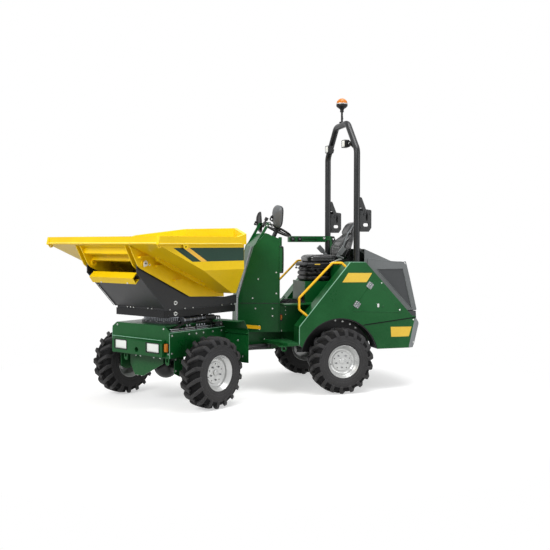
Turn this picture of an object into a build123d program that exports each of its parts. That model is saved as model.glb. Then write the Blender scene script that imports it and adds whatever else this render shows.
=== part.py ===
from build123d import *
from math import atan2, cos, degrees, radians, sin, sqrt, tan
import os

os.makedirs("parts", exist_ok=True)

# Lengths are in millimetres, angles in degrees.
# Each half is drawn with its own x forward, y left and z up from the ground below the articulation pin.

# Layout of the two halves
front_axle_x = 913.0
rear_axle_x = -1259.0
track = 1402.0
axle_z = 382.5
rest_steer = 35.0
pin_from_middle_x = 172.0
pin_from_middle_y = -459.0
running_gap = 0.05
rest_gap = 0.3
plate_t = 12.0

# Tyres and rims
tyre_r = 382.5
tyre_half = 131.0
lug_h = 31.0
lug_count = 18
lug_foot_r = 292.0
rim_flange_r = 189.0
rim_half = 120.0
rim_wall = 7.0
disc_y = 52.0
disc_t = 16.0
disc_r = 118.0
stub_r = 24.0
hub_r = 60.0
hub_depth = 26.0
drum_r = 80.0

# Front chassis
nose_x = 1290.0
nose_top_z = 879.0
nose_half_top = 383.0
nose_half = 456.0
nose_chamfer_z = 829.0
nose_bottom_z = 541.0
side_plate_top_z = 812.0
side_plate_end_x = 430.0
deck_z = 868.0
spine_half = 150.0
spine_low_z = 430.0
spine_top_z = 690.0
axle_seat_z = 518.0
guard_x = 430.0
guard_out_y = 800.0
guard_top_z = 905.0
guard_fold_z = 790.0
guard_low_z = 430.0
guard_t = 6.0

# Articulation pin and its lugs
pin_r = 30.0
knuckle_r = 110.0
tongue_low_z = 500.0
tongue_top_z = 620.0
lug_t = 34.0
lug_gap = 1.0

# Light box across the nose
box_x = 1342.0
box_half = 400.0
box_low_z = 559.0
box_top_z = 735.0
lamp_y = 255.0
lamp_z = 648.0
lamp_w = 180.0
lamp_h = 100.0
tow_hole_z = 608.0
tow_hole_r = 28.0

# Slewing ring and turntable frame
slew_x = 810.0
slew_r = 320.0
slew_base_z = deck_z + plate_t
slew_top_z = 964.0
table_rear_x = 187.0
table_front_x = 1293.0
table_half = 393.0
table_rail_h = 75.0
table_rail_z = slew_top_z
table_floor_z = table_rail_z + table_rail_h
table_floor_t = 28.0

# Skip and its tipping pin
tip_x = 1614.0
tip_z = 1543.0
tip_pin_r = 20.0
lip_x = 1818.0
lip_z = 1733.0
skip_half = 867.0
skip_rear_x = 200.0
skip_rear_half = 385.0
skip_corner_x = 580.0
skip_bend_z = 1470.0
skip_floor_z = 1200.0
skip_foot_half = 680.0
skip_rim_z = 1813.0
skip_rim_end_x = 700.0
skip_corner_z = 1844.0
skip_rear_z = 1920.0
skip_wall = 8.0
rim_out = 24.0
floor_slope = 23.05
outer_arm_y = 435.0
inner_arm_y = 364.0
ear_y = 404.0
ear_t = 16.0
ear_r = 60.0

# Tipping and steering cylinders
cylinder_pin_r = 12.0
tip_base_x = 500.0
tip_base_z = 1090.0
tip_eye_x = 1200.0
tip_eye_z = 1395.0
tip_eye_half = 25.0
steer_base_x = -520.0
steer_base_y = 240.0
steer_z = 520.0
steer_lug_x = 230.0
steer_lug_y = 300.0
steer_eye_half = 22.0
clevis_gap = 1.0

# Rear chassis and operator's platform
rail_half = 140.0
rail_top_z = 690.0
rail_end_x = -2095.0
rail_nose_z = 465.0
floor_z = 1033.0
platform_front_x = -645.0
seat_box_x = -977.0
seat_box_h = 250.0
bulkhead_x = -1340.0
bulkhead_end_x = -1600.0
bulkhead_z = 1480.0
step_z = 570.0
step_t = 30.0
tower_nose_x = -165.0
tower_rear_x = -640.0
tower_nose_half = 140.0
tower_rear_half = 310.0

# Side pods
pod_y = 690.0
pod_inner_y = 485.0
pod_top_z = 1524.0
arch_r = 491.0
hatch_t = 4.0
hatch_top_x = -1682.0
hatch_top_z = 1321.0
hatch_low_x = -1416.0
hatch_low_z = 955.0
hinge_out = 8.0
hinge_r = 7.0

# Hood
hood_half = 480.0
hood_wall = 8.0
hood_hinge_x = -1620.0
hood_hinge_z = 1676.0

# Roll bar
post_x = -1540.0
post_y = 500.0
tube_r = 38.0
post_joint_z = 2170.0
joint_gap = 6.0
fold_x = -1640.0
fold_z = 2120.0
fold_pin_r = 10.0
hoop_shoulder_z = 2860.0
hoop_top_z = 3254.0
hoop_top_half = 190.0
hoop_bend_r = 120.0
beacon_z = hoop_top_z + 166.0
beacon_r = 71.0
work_lamp_z = hoop_top_z - 304.0


def side(y):
    """Upright plane along the machine, y to the left, drawn with x forward and z up."""
    return Plane.XZ.offset(-y)


def across(x):
    """Upright plane across the machine, x forward, drawn with y to the left and z up."""
    return Plane.YZ.offset(x)


def level(z):
    """Level plane at height z."""
    return Plane.XY.offset(z)


def outline(plane, *points):
    """Face inside straight edges through the points of a plane."""
    with BuildSketch(plane) as sketch:
        with BuildLine():
            Polyline(*points, close=True)
        make_face()
    return sketch.sketch


def panel(plane, x, y, width, height, corner=0):
    """Rectangular face about a middle, with round corners if a radius is given."""
    with BuildSketch(plane) as sketch:
        with Locations((x, y)):
            if corner:
                RectangleRounded(width, height, corner)
            else:
                Rectangle(width, height)
    return sketch.sketch


def disc(plane, x, y, outer, inner=0):
    """Round face about a middle, with a round hole if a radius is given."""
    with BuildSketch(plane) as sketch:
        with Locations((x, y)):
            Circle(outer)
            if inner:
                Circle(inner, mode=Mode.SUBTRACT)
    return sketch.sketch


rear_place = Pos(pin_from_middle_x, pin_from_middle_y, 0)
front_place = rear_place * Rot(0, 0, rest_steer)


def save(piece, name, place):
    """Labels a finished piece, turns it with its half of the machine and writes its file."""
    placed = piece.part.moved(place)
    placed.label = name
    export_step(placed, f"parts/{name}.step")


def floor_z_at(x):
    """Height of the sloping skip floor at a distance forward."""
    return lip_z - (lip_x - x) * tan(radians(floor_slope))


# Tyre about its axle: flat-sided carcass fused with slanted tread lugs of both hands
lug_pitch = 360.0 / lug_count
lug_front = 66.0
lug_rear = -62.0
lug_w = 42.0
lug_top_r = sqrt(tyre_r**2 - lug_front**2)
crown_r = lug_top_r - lug_h
flat_share = tan(radians(lug_pitch / 2))
bead_r = rim_flange_r + rest_gap
with BuildPart() as flat:
    section = outline(
        across(0),
        (-rim_half, bead_r),
        (-tyre_half + 2, 250),
        (-tyre_half + 22, crown_r),
        (tyre_half - 22, crown_r),
        (tyre_half - 2, 250),
        (rim_half, bead_r),
    )
    extrude(section, amount=tyre_r * flat_share, both=True)
    wedge = outline(side(0), (0, 0), (-tyre_r * flat_share, tyre_r), (tyre_r * flat_share, tyre_r))
    extrude(wedge, amount=tyre_half, both=True, mode=Mode.INTERSECT)
with BuildPart() as tread_lug:
    foot = outline(
        level(lug_top_r),
        (lug_front, -8),
        (lug_front - lug_w, -8),
        (lug_rear - 2, tyre_half + 4),
        (lug_rear + lug_w + 2, tyre_half + 4),
    )
    extrude(foot, amount=lug_foot_r - lug_top_r)
    shoulder = outline(
        across(0),
        (tyre_half - 33, lug_top_r + 1),
        (tyre_half + 0.5, lug_foot_r - 1),
        (tyre_half + 10, lug_foot_r - 1),
        (tyre_half + 10, lug_top_r + 1),
    )
    extrude(shoulder, amount=2 * lug_front, both=True, mode=Mode.SUBTRACT)
other_lug = tread_lug.part.mirror(Plane.XZ).moved(Rot(0, lug_pitch / 2, 0))
with BuildPart() as tyre:
    add([flat.part.moved(Rot(0, k * lug_pitch, 0)) for k in range(lug_count)])
    add([tread_lug.part.moved(Rot(0, k * lug_pitch, 0)) for k in range(lug_count)])
    add([other_lug.moved(Rot(0, k * lug_pitch, 0)) for k in range(lug_count)])

# Wheel rim: stepped well, flat disc, bored hub behind it and nut seats
seat_r = rim_flange_r - rim_wall
with BuildPart() as rim:
    with BuildSketch(Plane.YZ):
        with BuildLine():
            Polyline(
                (-rim_half, seat_r),
                (-rim_half, rim_flange_r),
                (rim_half, rim_flange_r),
                (rim_half, seat_r),
                (rim_half - 14, seat_r - 14),
                (rim_half - 44, seat_r - 26),
                (disc_y - 8, disc_r + 30),
                (disc_y - 10, disc_r + 4),
                (disc_y, disc_r - 4),
                (disc_y, 0),
                (disc_y - disc_t, 0),
                (disc_y - disc_t, disc_r + 30),
                (-rim_half + 44, seat_r - 26),
                close=True,
            )
        make_face()
    revolve(axis=Axis.Y)
    extrude(disc(side(disc_y - disc_t), 0, 0, hub_r), amount=hub_depth)
    bore = disc(side(disc_y - disc_t - hub_depth), 0, 0, stub_r + running_gap)
    extrude(bore, amount=-hub_depth - 4, mode=Mode.SUBTRACT)
    extrude(disc(side(disc_y), 0, 0, 40), amount=-16)

wheel_places = {
    "front_left": front_place * Pos(front_axle_x, track / 2, axle_z),
    "front_right": front_place * Pos(front_axle_x, -track / 2, axle_z),
    "rear_left": rear_place * Pos(rear_axle_x, track / 2, axle_z),
    "rear_right": rear_place * Pos(rear_axle_x, -track / 2, axle_z),
}
for corner, place in wheel_places.items():
    outward = Rot(0, 0, 180 if corner.endswith("right") else 0)
    save(tyre, f"tyre_{corner}", place)
    save(rim, f"rim_{corner}", place * outward)

# Axle beam between two wheels with its differential bulge, mounting pad, hub drums and stub shafts
hub_seat_y = track / 2 + disc_y - disc_t - hub_depth - rest_gap
with BuildPart() as axle:
    extrude(disc(side(0), 0, 0, 62), amount=track / 2 - 60, both=True)
    extrude(disc(side(0), 0, 0, drum_r), amount=hub_seat_y, both=True)
    extrude(disc(side(0), 0, 0, drum_r), amount=hub_seat_y - 110, both=True, mode=Mode.SUBTRACT)
    extrude(disc(side(0), 0, 0, 62), amount=hub_seat_y, both=True)
    extrude(disc(side(0), 0, 0, stub_r), amount=hub_seat_y + hub_depth, both=True)
    Sphere(135)
    extrude(panel(level(0), 0, 0, 120, 280), amount=axle_seat_z - axle_z)
save(axle, "front_axle", front_place * Pos(front_axle_x, 0, axle_z))
save(axle, "rear_axle", rear_place * Pos(rear_axle_x, 0, axle_z))

# Front chassis: nose plate, side plates, top deck, hollow spine to the pin and mudguards
side_middle_x = (nose_x + side_plate_end_x) / 2
side_length = nose_x - side_plate_end_x
with BuildPart() as front_frame:
    with BuildSketch(across(nose_x)):
        with BuildLine():
            Polyline(
                (0, nose_bottom_z),
                (nose_half, nose_bottom_z),
                (nose_half, nose_chamfer_z),
                (nose_half_top, nose_top_z),
                (0, nose_top_z),
                close=True,
            )
        make_face()
        mirror(about=Plane.YZ)
    extrude(amount=-plate_t)
    for y in (nose_half, -nose_half + plate_t):
        with BuildSketch(side(y)):
            with BuildLine():
                Polyline(
                    (nose_x, nose_bottom_z),
                    (nose_x, side_plate_top_z),
                    (side_plate_end_x, side_plate_top_z),
                    (side_plate_end_x, 600),
                    (700, nose_bottom_z),
                    close=True,
                )
            make_face()
        extrude(amount=plate_t)
    extrude(panel(level(deck_z), side_middle_x, 0, side_length, 2 * nose_half_top), amount=plate_t)
    shelf = panel(level(side_plate_top_z - plate_t), side_middle_x, 0, side_length, 2 * nose_half)
    extrude(shelf, amount=plate_t)
    riser = panel(level(side_plate_top_z), side_middle_x, 0, side_length - 100, 2 * nose_half_top - 60)
    extrude(riser, amount=deck_z - side_plate_top_z)
    with BuildSketch(side(0)):
        with BuildLine():
            Polyline(
                (1190, axle_seat_z),
                (1190, side_plate_top_z - 5),
                (side_plate_end_x, side_plate_top_z - 5),
                (300, spine_top_z),
                (120, spine_top_z),
                (120, spine_low_z),
                (600, spine_low_z + 40),
                (700, axle_seat_z),
                close=True,
            )
        make_face()
    extrude(amount=spine_half, both=True)
    tongue_h = tongue_top_z - tongue_low_z
    extrude(panel(level(tongue_low_z), 80, 0, 160, 2 * knuckle_r), amount=tongue_h)
    extrude(disc(level(tongue_low_z), 0, 0, knuckle_r), amount=tongue_h)
    extrude(disc(level(tongue_low_z), 0, 0, pin_r + running_gap), amount=tongue_h, mode=Mode.SUBTRACT)
    # Angled guard plates ahead of the axle
    steep = outline(across(1200), (-264, 545), (-264, 420), (-190, 302), (-60, 302), (-60, 545))
    extrude(steep, amount=-plate_t)
    extrude(outline(across(1200), (-60, 302), (264, 464), (264, 545), (-60, 545)), amount=-plate_t)
    extrude(panel(level(302), 1170, -125, 60, 130), amount=plate_t)
    # Lug for the steering rod
    lug_top_z = steer_z - steer_eye_half - clevis_gap
    lug_end_y = steer_lug_y + 30
    rod_lug = panel(level(lug_top_z), steer_lug_x, (spine_half + lug_end_y) / 2, 70, lug_end_y - spine_half)
    extrude(rod_lug, amount=-16)
    # Mudguards behind the wheels, each with a folded rib
    for y in (guard_out_y, -nose_half):
        with BuildSketch(side(y)):
            with BuildLine():
                Polyline(
                    (640, guard_top_z),
                    (500, guard_top_z),
                    (guard_x, guard_fold_z),
                    (guard_x, guard_low_z),
                    (guard_x + guard_t, guard_low_z),
                    (guard_x + guard_t, guard_fold_z - 2),
                    (503, guard_top_z - guard_t),
                    (640, guard_top_z - guard_t),
                    close=True,
                )
            make_face()
            with Locations((guard_x + 20, guard_fold_z - 30)):
                Rectangle(40, guard_t)
        extrude(amount=guard_out_y - nose_half)
    # Slotted tie-down lugs below the nose
    for y in (420, -235):
        with BuildSketch(across(nose_x)):
            with Locations((y, nose_bottom_z - 15)):
                SlotOverall(110, 56, rotation=90)
                SlotOverall(54, 26, rotation=90, mode=Mode.SUBTRACT)
        extrude(amount=-plate_t)
save(front_frame, "front_frame", front_place)

# Light box across the nose with a sloping lid, lamp windows, a towing hole and its two lamps
with BuildPart() as light_box:
    with BuildSketch(side(0)):
        with BuildLine():
            Polyline(
                (nose_x, box_low_z),
                (box_x, box_low_z),
                (box_x, box_top_z - 36),
                (box_x - 14, box_top_z - 22),
                (nose_x, box_top_z),
                close=True,
            )
        make_face()
    extrude(amount=box_half, both=True)
    for y in (lamp_y, -lamp_y):
        extrude(panel(across(box_x), y, lamp_z, lamp_w, lamp_h), amount=nose_x - box_x, mode=Mode.SUBTRACT)
    extrude(disc(across(box_x), 0, tow_hole_z, tow_hole_r), amount=nose_x - box_x, mode=Mode.SUBTRACT)
save(light_box, "light_box", front_place)
with BuildPart() as front_lamps:
    for y in (lamp_y, -lamp_y):
        lamp = panel(across(nose_x), y, lamp_z, lamp_w - 2 * rest_gap, lamp_h - 2 * rest_gap)
        extrude(lamp, amount=box_x - nose_x - 10)
save(front_lamps, "front_lamps", front_place)

# Slew drive: bolted base ring, toothed ring cover, and the worm housing with its motor at the left
worm_y = slew_r + 30
worm_z = slew_base_z + 38
with BuildPart() as slew_drive:
    extrude(disc(level(slew_base_z), slew_x, 0, slew_r + 20), amount=18)
    extrude(disc(level(slew_base_z), slew_x, 0, slew_r - 14), amount=slew_top_z - slew_base_z - 6)
    extrude(disc(across(slew_x - 150), worm_y, worm_z, 36), amount=330)
    for x in (slew_x - 160, slew_x + 160):
        extrude(disc(across(x), worm_y, worm_z, 37.5), amount=20)
    extrude(disc(across(slew_x - 290), worm_y, worm_z, 30), amount=140)
    extrude(panel(level(slew_base_z), slew_x, worm_y - 25, 200, 80), amount=40)
save(slew_drive, "slew_drive", front_place)

# Turntable frame that turns on the ring, of box rails round an open middle
with BuildPart() as turntable:
    table_middle_x = (table_rear_x + table_front_x) / 2
    table_length = table_front_x - table_rear_x
    rails = panel(level(table_rail_z), table_middle_x, 0, table_length, 2 * table_half, 14)
    extrude(rails, amount=table_rail_h)
    extrude(disc(level(slew_top_z - 6 + running_gap), slew_x, 0, 250), amount=20)
    extrude(disc(level(slew_top_z - 6), slew_x, 0, 180), amount=table_rail_h + 6, mode=Mode.SUBTRACT)
save(turntable, "turntable", front_place)

# Tipping console: cheek plates with the pin ears, held off the rails by the floor, a sloping front plate and a clevis
console_z = table_floor_z + table_floor_t
cheek_z = console_z - 8
with BuildPart() as tip_console:
    console_floor = panel(level(table_floor_z), table_middle_x, 0, table_length - 40, 2 * (ear_y - ear_t))
    extrude(console_floor, amount=table_floor_t)
    extrude(panel(level(table_floor_z), 720, 0, 640, 150), amount=table_floor_t, mode=Mode.SUBTRACT)
    for y in (ear_y, -ear_y + ear_t):
        with BuildSketch(side(y)):
            with BuildLine():
                Polyline(
                    (table_rear_x, cheek_z),
                    (table_front_x, cheek_z),
                    (1672, 1451),
                    (tip_x + ear_r, tip_z),
                    (tip_x, tip_z + ear_r),
                    (tip_x - ear_r, tip_z),
                    (947, 1180),
                    (367, 1142),
                    (table_rear_x, 1160),
                    close=True,
                )
            make_face()
            with Locations((tip_x, tip_z)):
                Circle(ear_r)
                Circle(tip_pin_r + running_gap, mode=Mode.SUBTRACT)
        extrude(amount=ear_t)
    slope = outline(side(0), (1294, console_z), (1640, 1419), (1632, 1427), (1286, console_z))
    extrude(slope, amount=ear_y - ear_t, both=True)
    for y in (tip_eye_half + clevis_gap + plate_t, -tip_eye_half - clevis_gap):
        cheek = outline(side(y), (440, table_floor_z), (550, table_floor_z), (525, 1112), (475, 1112))
        extrude(cheek, amount=plate_t)
        extrude(panel(level(table_floor_z), 500, y - plate_t / 2, 700, plate_t), amount=20)
    clevis_half = tip_eye_half + clevis_gap + plate_t
    extrude(disc(side(0), tip_base_x, tip_base_z, cylinder_pin_r), amount=clevis_half, both=True)
save(tip_console, "tip_console", front_place)

# Folded guard across the front of the console
with BuildPart() as front_guard:
    with BuildSketch(side(0)):
        with BuildLine():
            Polyline(
                (1627, 1449),
                (1687, 1392),
                (1641, 1332),
                (1590, 1378),
                (1598, 1386),
                (1641, 1344),
                (1676, 1391),
                (1620, 1441),
                close=True,
            )
        make_face()
    extrude(amount=345, both=True)
    add(tip_console.part, mode=Mode.SUBTRACT)
save(front_guard, "front_guard", front_place)

# Skip shell: plan outlines of its walls and of its flat bottom


def skip_outline(inset):
    """Plan outline of the skip, drawn in from its outside by the inset."""
    with BuildSketch() as plan:
        with BuildLine():
            Polyline(
                (lip_x, 0),
                (lip_x, skip_half),
                (skip_corner_x, skip_half),
                (skip_rear_x, skip_rear_half),
                (skip_rear_x, 0),
                close=True,
            )
        make_face()
        mirror(about=Plane.XZ)
        if inset:
            offset(amount=-inset, kind=Kind.INTERSECTION)
    return plan.sketch


def skip_foot(inset):
    """Plan outline of the skip's flat bottom."""
    with BuildSketch() as plan:
        with BuildLine():
            Polyline(
                (lip_x, 0),
                (lip_x, skip_foot_half),
                (500, skip_foot_half),
                (330, skip_rear_half),
                (330, 0),
                close=True,
            )
        make_face()
        mirror(about=Plane.XZ)
        if inset:
            offset(amount=-inset, kind=Kind.INTERSECTION)
    return plan.sketch


def skip_body(inset, top):
    """Solid that fills the skip, standing in from its outside by the inset."""
    before_lip = lip_x + 200
    behind_floor = 300
    with BuildPart() as body:
        with BuildSketch(level(skip_bend_z)):
            add(skip_outline(inset))
        extrude(amount=top - skip_bend_z)
        with BuildSketch(level(skip_bend_z)):
            add(skip_outline(inset))
        with BuildSketch(level(skip_floor_z + inset)):
            add(skip_foot(inset))
        loft()
        with BuildSketch(side(0)):
            with BuildLine():
                Polyline(
                    (before_lip, floor_z_at(before_lip) + inset),
                    (behind_floor, floor_z_at(behind_floor) + inset),
                    (behind_floor, floor_z_at(behind_floor) - 100),
                    (before_lip, floor_z_at(behind_floor) - 100),
                    close=True,
                )
            make_face()
        extrude(amount=skip_half + 100, both=True, mode=Mode.SUBTRACT)
    return body.part


with BuildPart() as skip_shell:
    add(skip_body(0, skip_rear_z))
    # Folded rim band that stands out all round
    with BuildSketch(level(lip_z)):
        add(skip_outline(0))
        offset(amount=rim_out, kind=Kind.INTERSECTION)
        with Locations((lip_x + 100, 0)):
            Rectangle(200, 2 * (skip_half - skip_wall), mode=Mode.SUBTRACT)
    extrude(amount=skip_rear_z - lip_z)
    add(skip_body(skip_wall, skip_rear_z + 100), mode=Mode.SUBTRACT)
    # Top edge: level at the front, rising to the rear panel
    with BuildSketch(side(0)):
        with BuildLine():
            Polyline(
                (lip_x + 300, skip_rim_z),
                (skip_rim_end_x, skip_rim_z),
                (skip_corner_x, skip_corner_z),
                (skip_rear_x - 60, skip_rear_z + 12),
                (skip_rear_x - 60, skip_rear_z + 300),
                (lip_x + 300, skip_rear_z + 300),
                close=True,
            )
        make_face()
    extrude(amount=skip_half + 100, both=True, mode=Mode.SUBTRACT)
    # Open mouth above the lip, and the slanted front ends of the side band
    mouth = panel(side(0), lip_x + 46, lip_z + 518, 100, 1000)
    extrude(mouth, amount=skip_half - skip_wall, both=True, mode=Mode.SUBTRACT)
    end_cut = outline(
        side(0),
        (lip_x + 18, lip_z - 1),
        (lip_x + 60, lip_z - 1),
        (lip_x + 60, skip_rim_z + 1),
        (lip_x - 2, skip_rim_z + 1),
    )
    extrude(end_cut, amount=skip_half + 100, both=True, mode=Mode.SUBTRACT)
    # Pierced ears below the front ends of the band
    for y in (skip_half, -skip_half + skip_wall):
        with BuildSketch(side(y)):
            with BuildLine():
                Polyline(
                    (lip_x + 18, lip_z + 4),
                    (lip_x - 12, lip_z - 34),
                    (lip_x - 34, lip_z - 34),
                    (lip_x - 70, lip_z - 4),
                    close=True,
                )
            make_face()
            with Locations((lip_x - 20, lip_z - 16)):
                Circle(6, mode=Mode.SUBTRACT)
        extrude(amount=skip_wall)
save(skip_shell, "skip_shell", front_place)

# Skip underframe: two pairs of arms that straddle the console's ears, cross ledges and the tipping pins
floor_foot_x = lip_x - (lip_z - skip_floor_z) / tan(radians(floor_slope))
boss_out = 10.0
pin_out = 22.0
with BuildPart() as skip_frame:
    for y in (outer_arm_y, -outer_arm_y + plate_t):
        with BuildSketch(side(y)):
            with BuildLine():
                Polyline(
                    (1797, floor_z_at(1797)),
                    (1690, 1520),
                    (1650, 1490),
                    (966, 1176),
                    (434, 1150),
                    (434, skip_floor_z),
                    (floor_foot_x, skip_floor_z),
                    close=True,
                )
            make_face()
            with Locations((tip_x, tip_z)):
                Circle(tip_pin_r, mode=Mode.SUBTRACT)
        extrude(amount=plate_t)
    for y in (inner_arm_y, -inner_arm_y + plate_t):
        with BuildSketch(side(y)):
            with BuildLine():
                Polyline(
                    (1797, floor_z_at(1797)),
                    (1690, 1520),
                    (1650, 1490),
                    (1400, 1376),
                    (1400, floor_z_at(1400)),
                    close=True,
                )
            make_face()
            with Locations((tip_x, tip_z)):
                Circle(tip_pin_r, mode=Mode.SUBTRACT)
        extrude(amount=plate_t)
    pin_length = outer_arm_y - inner_arm_y + plate_t + pin_out
    for y in (outer_arm_y + pin_out, -inner_arm_y + plate_t):
        extrude(disc(side(y), tip_x, tip_z, tip_pin_r), amount=pin_length)
    # Bosses and keeper bars on the outer arms, and bosses inside the inner arms
    inner_face_y = inner_arm_y - plate_t
    for y in (outer_arm_y + boss_out, -outer_arm_y, inner_face_y, boss_out - inner_face_y):
        extrude(disc(side(y), tip_x, tip_z, 38, tip_pin_r), amount=boss_out)
    for y in (outer_arm_y + pin_out + 6, -outer_arm_y - pin_out):
        extrude(panel(side(y), tip_x - 26, tip_z - 14, 84, 26), amount=6)
    # Folded tabs and a long channel outside each outer arm
    for y in (outer_arm_y + 46, -outer_arm_y):
        for x, z in ((1640, 1612), (1425, 1520), (1160, 1361)):
            extrude(panel(side(y), x, z, 108, 8), amount=46)
            extrude(panel(side(y), x + 50, z - 6, 8, 20), amount=46)
    for y in (outer_arm_y + 100, -outer_arm_y - 62):
        channel = outline(
            side(y),
            (1520, floor_z_at(1520)),
            (1500, floor_z_at(1500) - 34),
            (860, floor_z_at(860) - 34),
            (820, floor_z_at(820)),
        )
        extrude(channel, amount=38)
    # Cross ledges between the inner arms
    for x, drop, depth in ((1740, 0, 60), (1687, 0, 44), (1640, 60, 30)):
        top = floor_z_at(x) - drop
        ledge = outline(
            side(0),
            (x, top),
            (x, top - depth),
            (x - 40, top - depth - 12),
            (x - 48, floor_z_at(x - 48)),
            (x - 8, floor_z_at(x - 8)),
        )
        extrude(ledge, amount=inner_arm_y - plate_t / 2, both=True)
save(skip_frame, "skip_frame", front_place)

# Rear chassis: two lugs that hold the articulation pin, a nose box, two long rails and the steering clevis
with BuildPart() as rear_frame:
    for low_z in (tongue_low_z - lug_gap - lug_t, tongue_top_z + lug_gap):
        extrude(disc(level(low_z), 0, 0, knuckle_r), amount=lug_t)
        extrude(panel(level(low_z), -110, 0, 220, 2 * knuckle_r), amount=lug_t)
    extrude(disc(level(tongue_low_z - 60), 0, 0, pin_r), amount=tongue_top_z - tongue_low_z + 120)
    with BuildSketch(side(0)):
        with BuildLine():
            Polyline(
                (-150, rail_nose_z),
                (-150, rail_top_z),
                (rail_end_x, rail_top_z),
                (rail_end_x, axle_seat_z),
                (-800, axle_seat_z),
                (-600, rail_nose_z),
                close=True,
            )
        make_face()
    extrude(amount=rail_half, both=True)
    clevis_h = steer_eye_half + clevis_gap
    for z in (steer_z + clevis_h, steer_z - clevis_h - plate_t):
        lug_out_y = steer_base_y + 25
        lug = panel(level(z), steer_base_x, (rail_half + lug_out_y) / 2, 60, lug_out_y - rail_half)
        extrude(lug, amount=plate_t)
    steer_pin = disc(level(steer_z), steer_base_x, steer_base_y, cylinder_pin_r)
    extrude(steer_pin, amount=clevis_h + plate_t, both=True)
    # Round tie-down eyes under the foot steps
    for y in (650, -650 + plate_t):
        with BuildSketch(side(y)):
            with Locations((-590, step_z - 34)):
                Circle(32)
                Rectangle(64, 34, align=(Align.CENTER, Align.MIN))
                Circle(18, mode=Mode.SUBTRACT)
        extrude(amount=plate_t)
    extrude(panel(level(step_z - 12), -620, 0, 180, 1320), amount=12)
    extrude(panel(level(step_z - 12), -620, 0, 180, 2 * rail_half - 20), amount=12, mode=Mode.SUBTRACT)
    extrude(panel(level(step_z - 12), -620, 0, 180, 2 * rail_half), amount=12)
save(rear_frame, "rear_frame", rear_place)

# Operator's platform: floor, lower box, seat pedestal, rear bulkhead box, hood hinge lugs and pedals
middle_x = (platform_front_x + bulkhead_x) / 2
floor_length = platform_front_x - bulkhead_x
with BuildPart() as platform:
    extrude(panel(level(floor_z - plate_t), middle_x, 0, floor_length, 2 * pod_inner_y), amount=plate_t)
    under = panel(level(rail_top_z), middle_x, 0, floor_length, 2 * tower_rear_half)
    extrude(under, amount=floor_z - plate_t - rail_top_z)
    pedestal_length = seat_box_x - bulkhead_x
    extrude(panel(level(floor_z), (seat_box_x + bulkhead_x) / 2, 0, pedestal_length, 480), amount=seat_box_h)
    bulkhead_length = bulkhead_x - bulkhead_end_x
    box = panel(level(rail_top_z), (bulkhead_x + bulkhead_end_x) / 2, 0, bulkhead_length, 2 * pod_inner_y)
    extrude(box, amount=bulkhead_z - rail_top_z)
    for y in (342, -330):
        with BuildSketch(side(y)):
            with BuildLine():
                Polyline((-1560, 1479), (-1600, 1479), (-1645, 1690), (-1600, 1700), close=True)
            make_face()
            with Locations((hood_hinge_x, hood_hinge_z)):
                Circle(26)
        extrude(amount=plate_t)
    for y in (360, -330):
        extrude(disc(side(y), hood_hinge_x, hood_hinge_z, 10), amount=30)
    for y in (150, -110):
        pedal = outline(side(y), (-690, floor_z), (-760, floor_z + 60), (-754, floor_z + 66), (-672, floor_z))
        extrude(pedal, amount=70)
save(platform, "platform", rear_place)

# Foot steps on both sides of the nose
with BuildPart() as steps:
    with BuildSketch(level(step_z)):
        with BuildLine():
            Polyline(
                (-450, 225),
                (-586, 650),
                (-620, pod_y),
                (-755, pod_y),
                (-755, 200),
                (-460, 200),
                close=True,
            )
        make_face()
        mirror(about=Plane.XZ)
    extrude(amount=step_t)
    extrude(panel(level(step_z), -620, 0, 200, 2 * 210), amount=step_t)
    extrude(panel(level(step_z), -620, 0, 220, 2 * rail_half), amount=step_t, mode=Mode.SUBTRACT)
save(steps, "steps", rear_place)

# Console tower: leaning wedge, narrow at its nose and flared to the rear, with two uprights
with BuildPart() as console_tower:
    with BuildSketch(side(0)):
        with BuildLine():
            Polyline(
                (tower_nose_x, rail_top_z),
                (tower_nose_x - 10, 1100),
                (-350, 1714),
                (-485, 1867),
                (tower_rear_x, 1797),
                (tower_rear_x, rail_top_z),
                close=True,
            )
        make_face()
    extrude(amount=tower_rear_half, both=True)
    with BuildSketch(level(rail_top_z)):
        with BuildLine():
            Polyline(
                (tower_nose_x, tower_nose_half),
                (tower_rear_x, tower_rear_half),
                (tower_rear_x, 500),
                (0, 500),
                (0, tower_nose_half),
                close=True,
            )
        make_face()
        mirror(about=Plane.XZ)
    extrude(amount=1300, mode=Mode.SUBTRACT)
    for y in (206, -186):
        upright = outline(side(y), (-350, 1705), (-520, 2000), (-560, 2000), (-470, 1850), (-420, 1700))
        extrude(upright, amount=20)
    for y in (tower_rear_half - 30, 42 - tower_rear_half):
        extrude(panel(side(y), tower_rear_x - 14, 1700, 40, 240, 8), amount=plate_t)
save(console_tower, "console_tower", rear_place)

# Steering column and wheel
wheel_x = -696.0
wheel_z = 1915.0
wheel_tilt = 26.8
column_axis = (-sin(radians(wheel_tilt)), 0, cos(radians(wheel_tilt)))
wheel_plane = Plane(origin=(wheel_x, 0, wheel_z), x_dir=(0, 1, 0), z_dir=column_axis)
with BuildPart() as steering_wheel:
    with BuildLine(wheel_plane):
        CenterArc((0, 0), 178, 0, 360)
    with BuildSketch(Plane(origin=wheel_plane.from_local_coords((178, 0, 0)), z_dir=wheel_plane.y_dir)):
        Circle(14)
    sweep()
    with BuildSketch(wheel_plane):
        with PolarLocations(84, 3, start_angle=90):
            Rectangle(172, 30)
    extrude(amount=6, both=True)
    extrude(disc(wheel_plane, 0, 0, 44), amount=14, both=True)
    extrude(disc(wheel_plane, 0, 0, 26), amount=-150)
    extrude(disc(wheel_plane, 0, -178, 12), amount=40)
    extrude(disc(wheel_plane.offset(34), 0, -178, 22), amount=36)
    add(console_tower.part, mode=Mode.SUBTRACT)
save(steering_wheel, "steering_wheel", rear_place)

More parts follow.
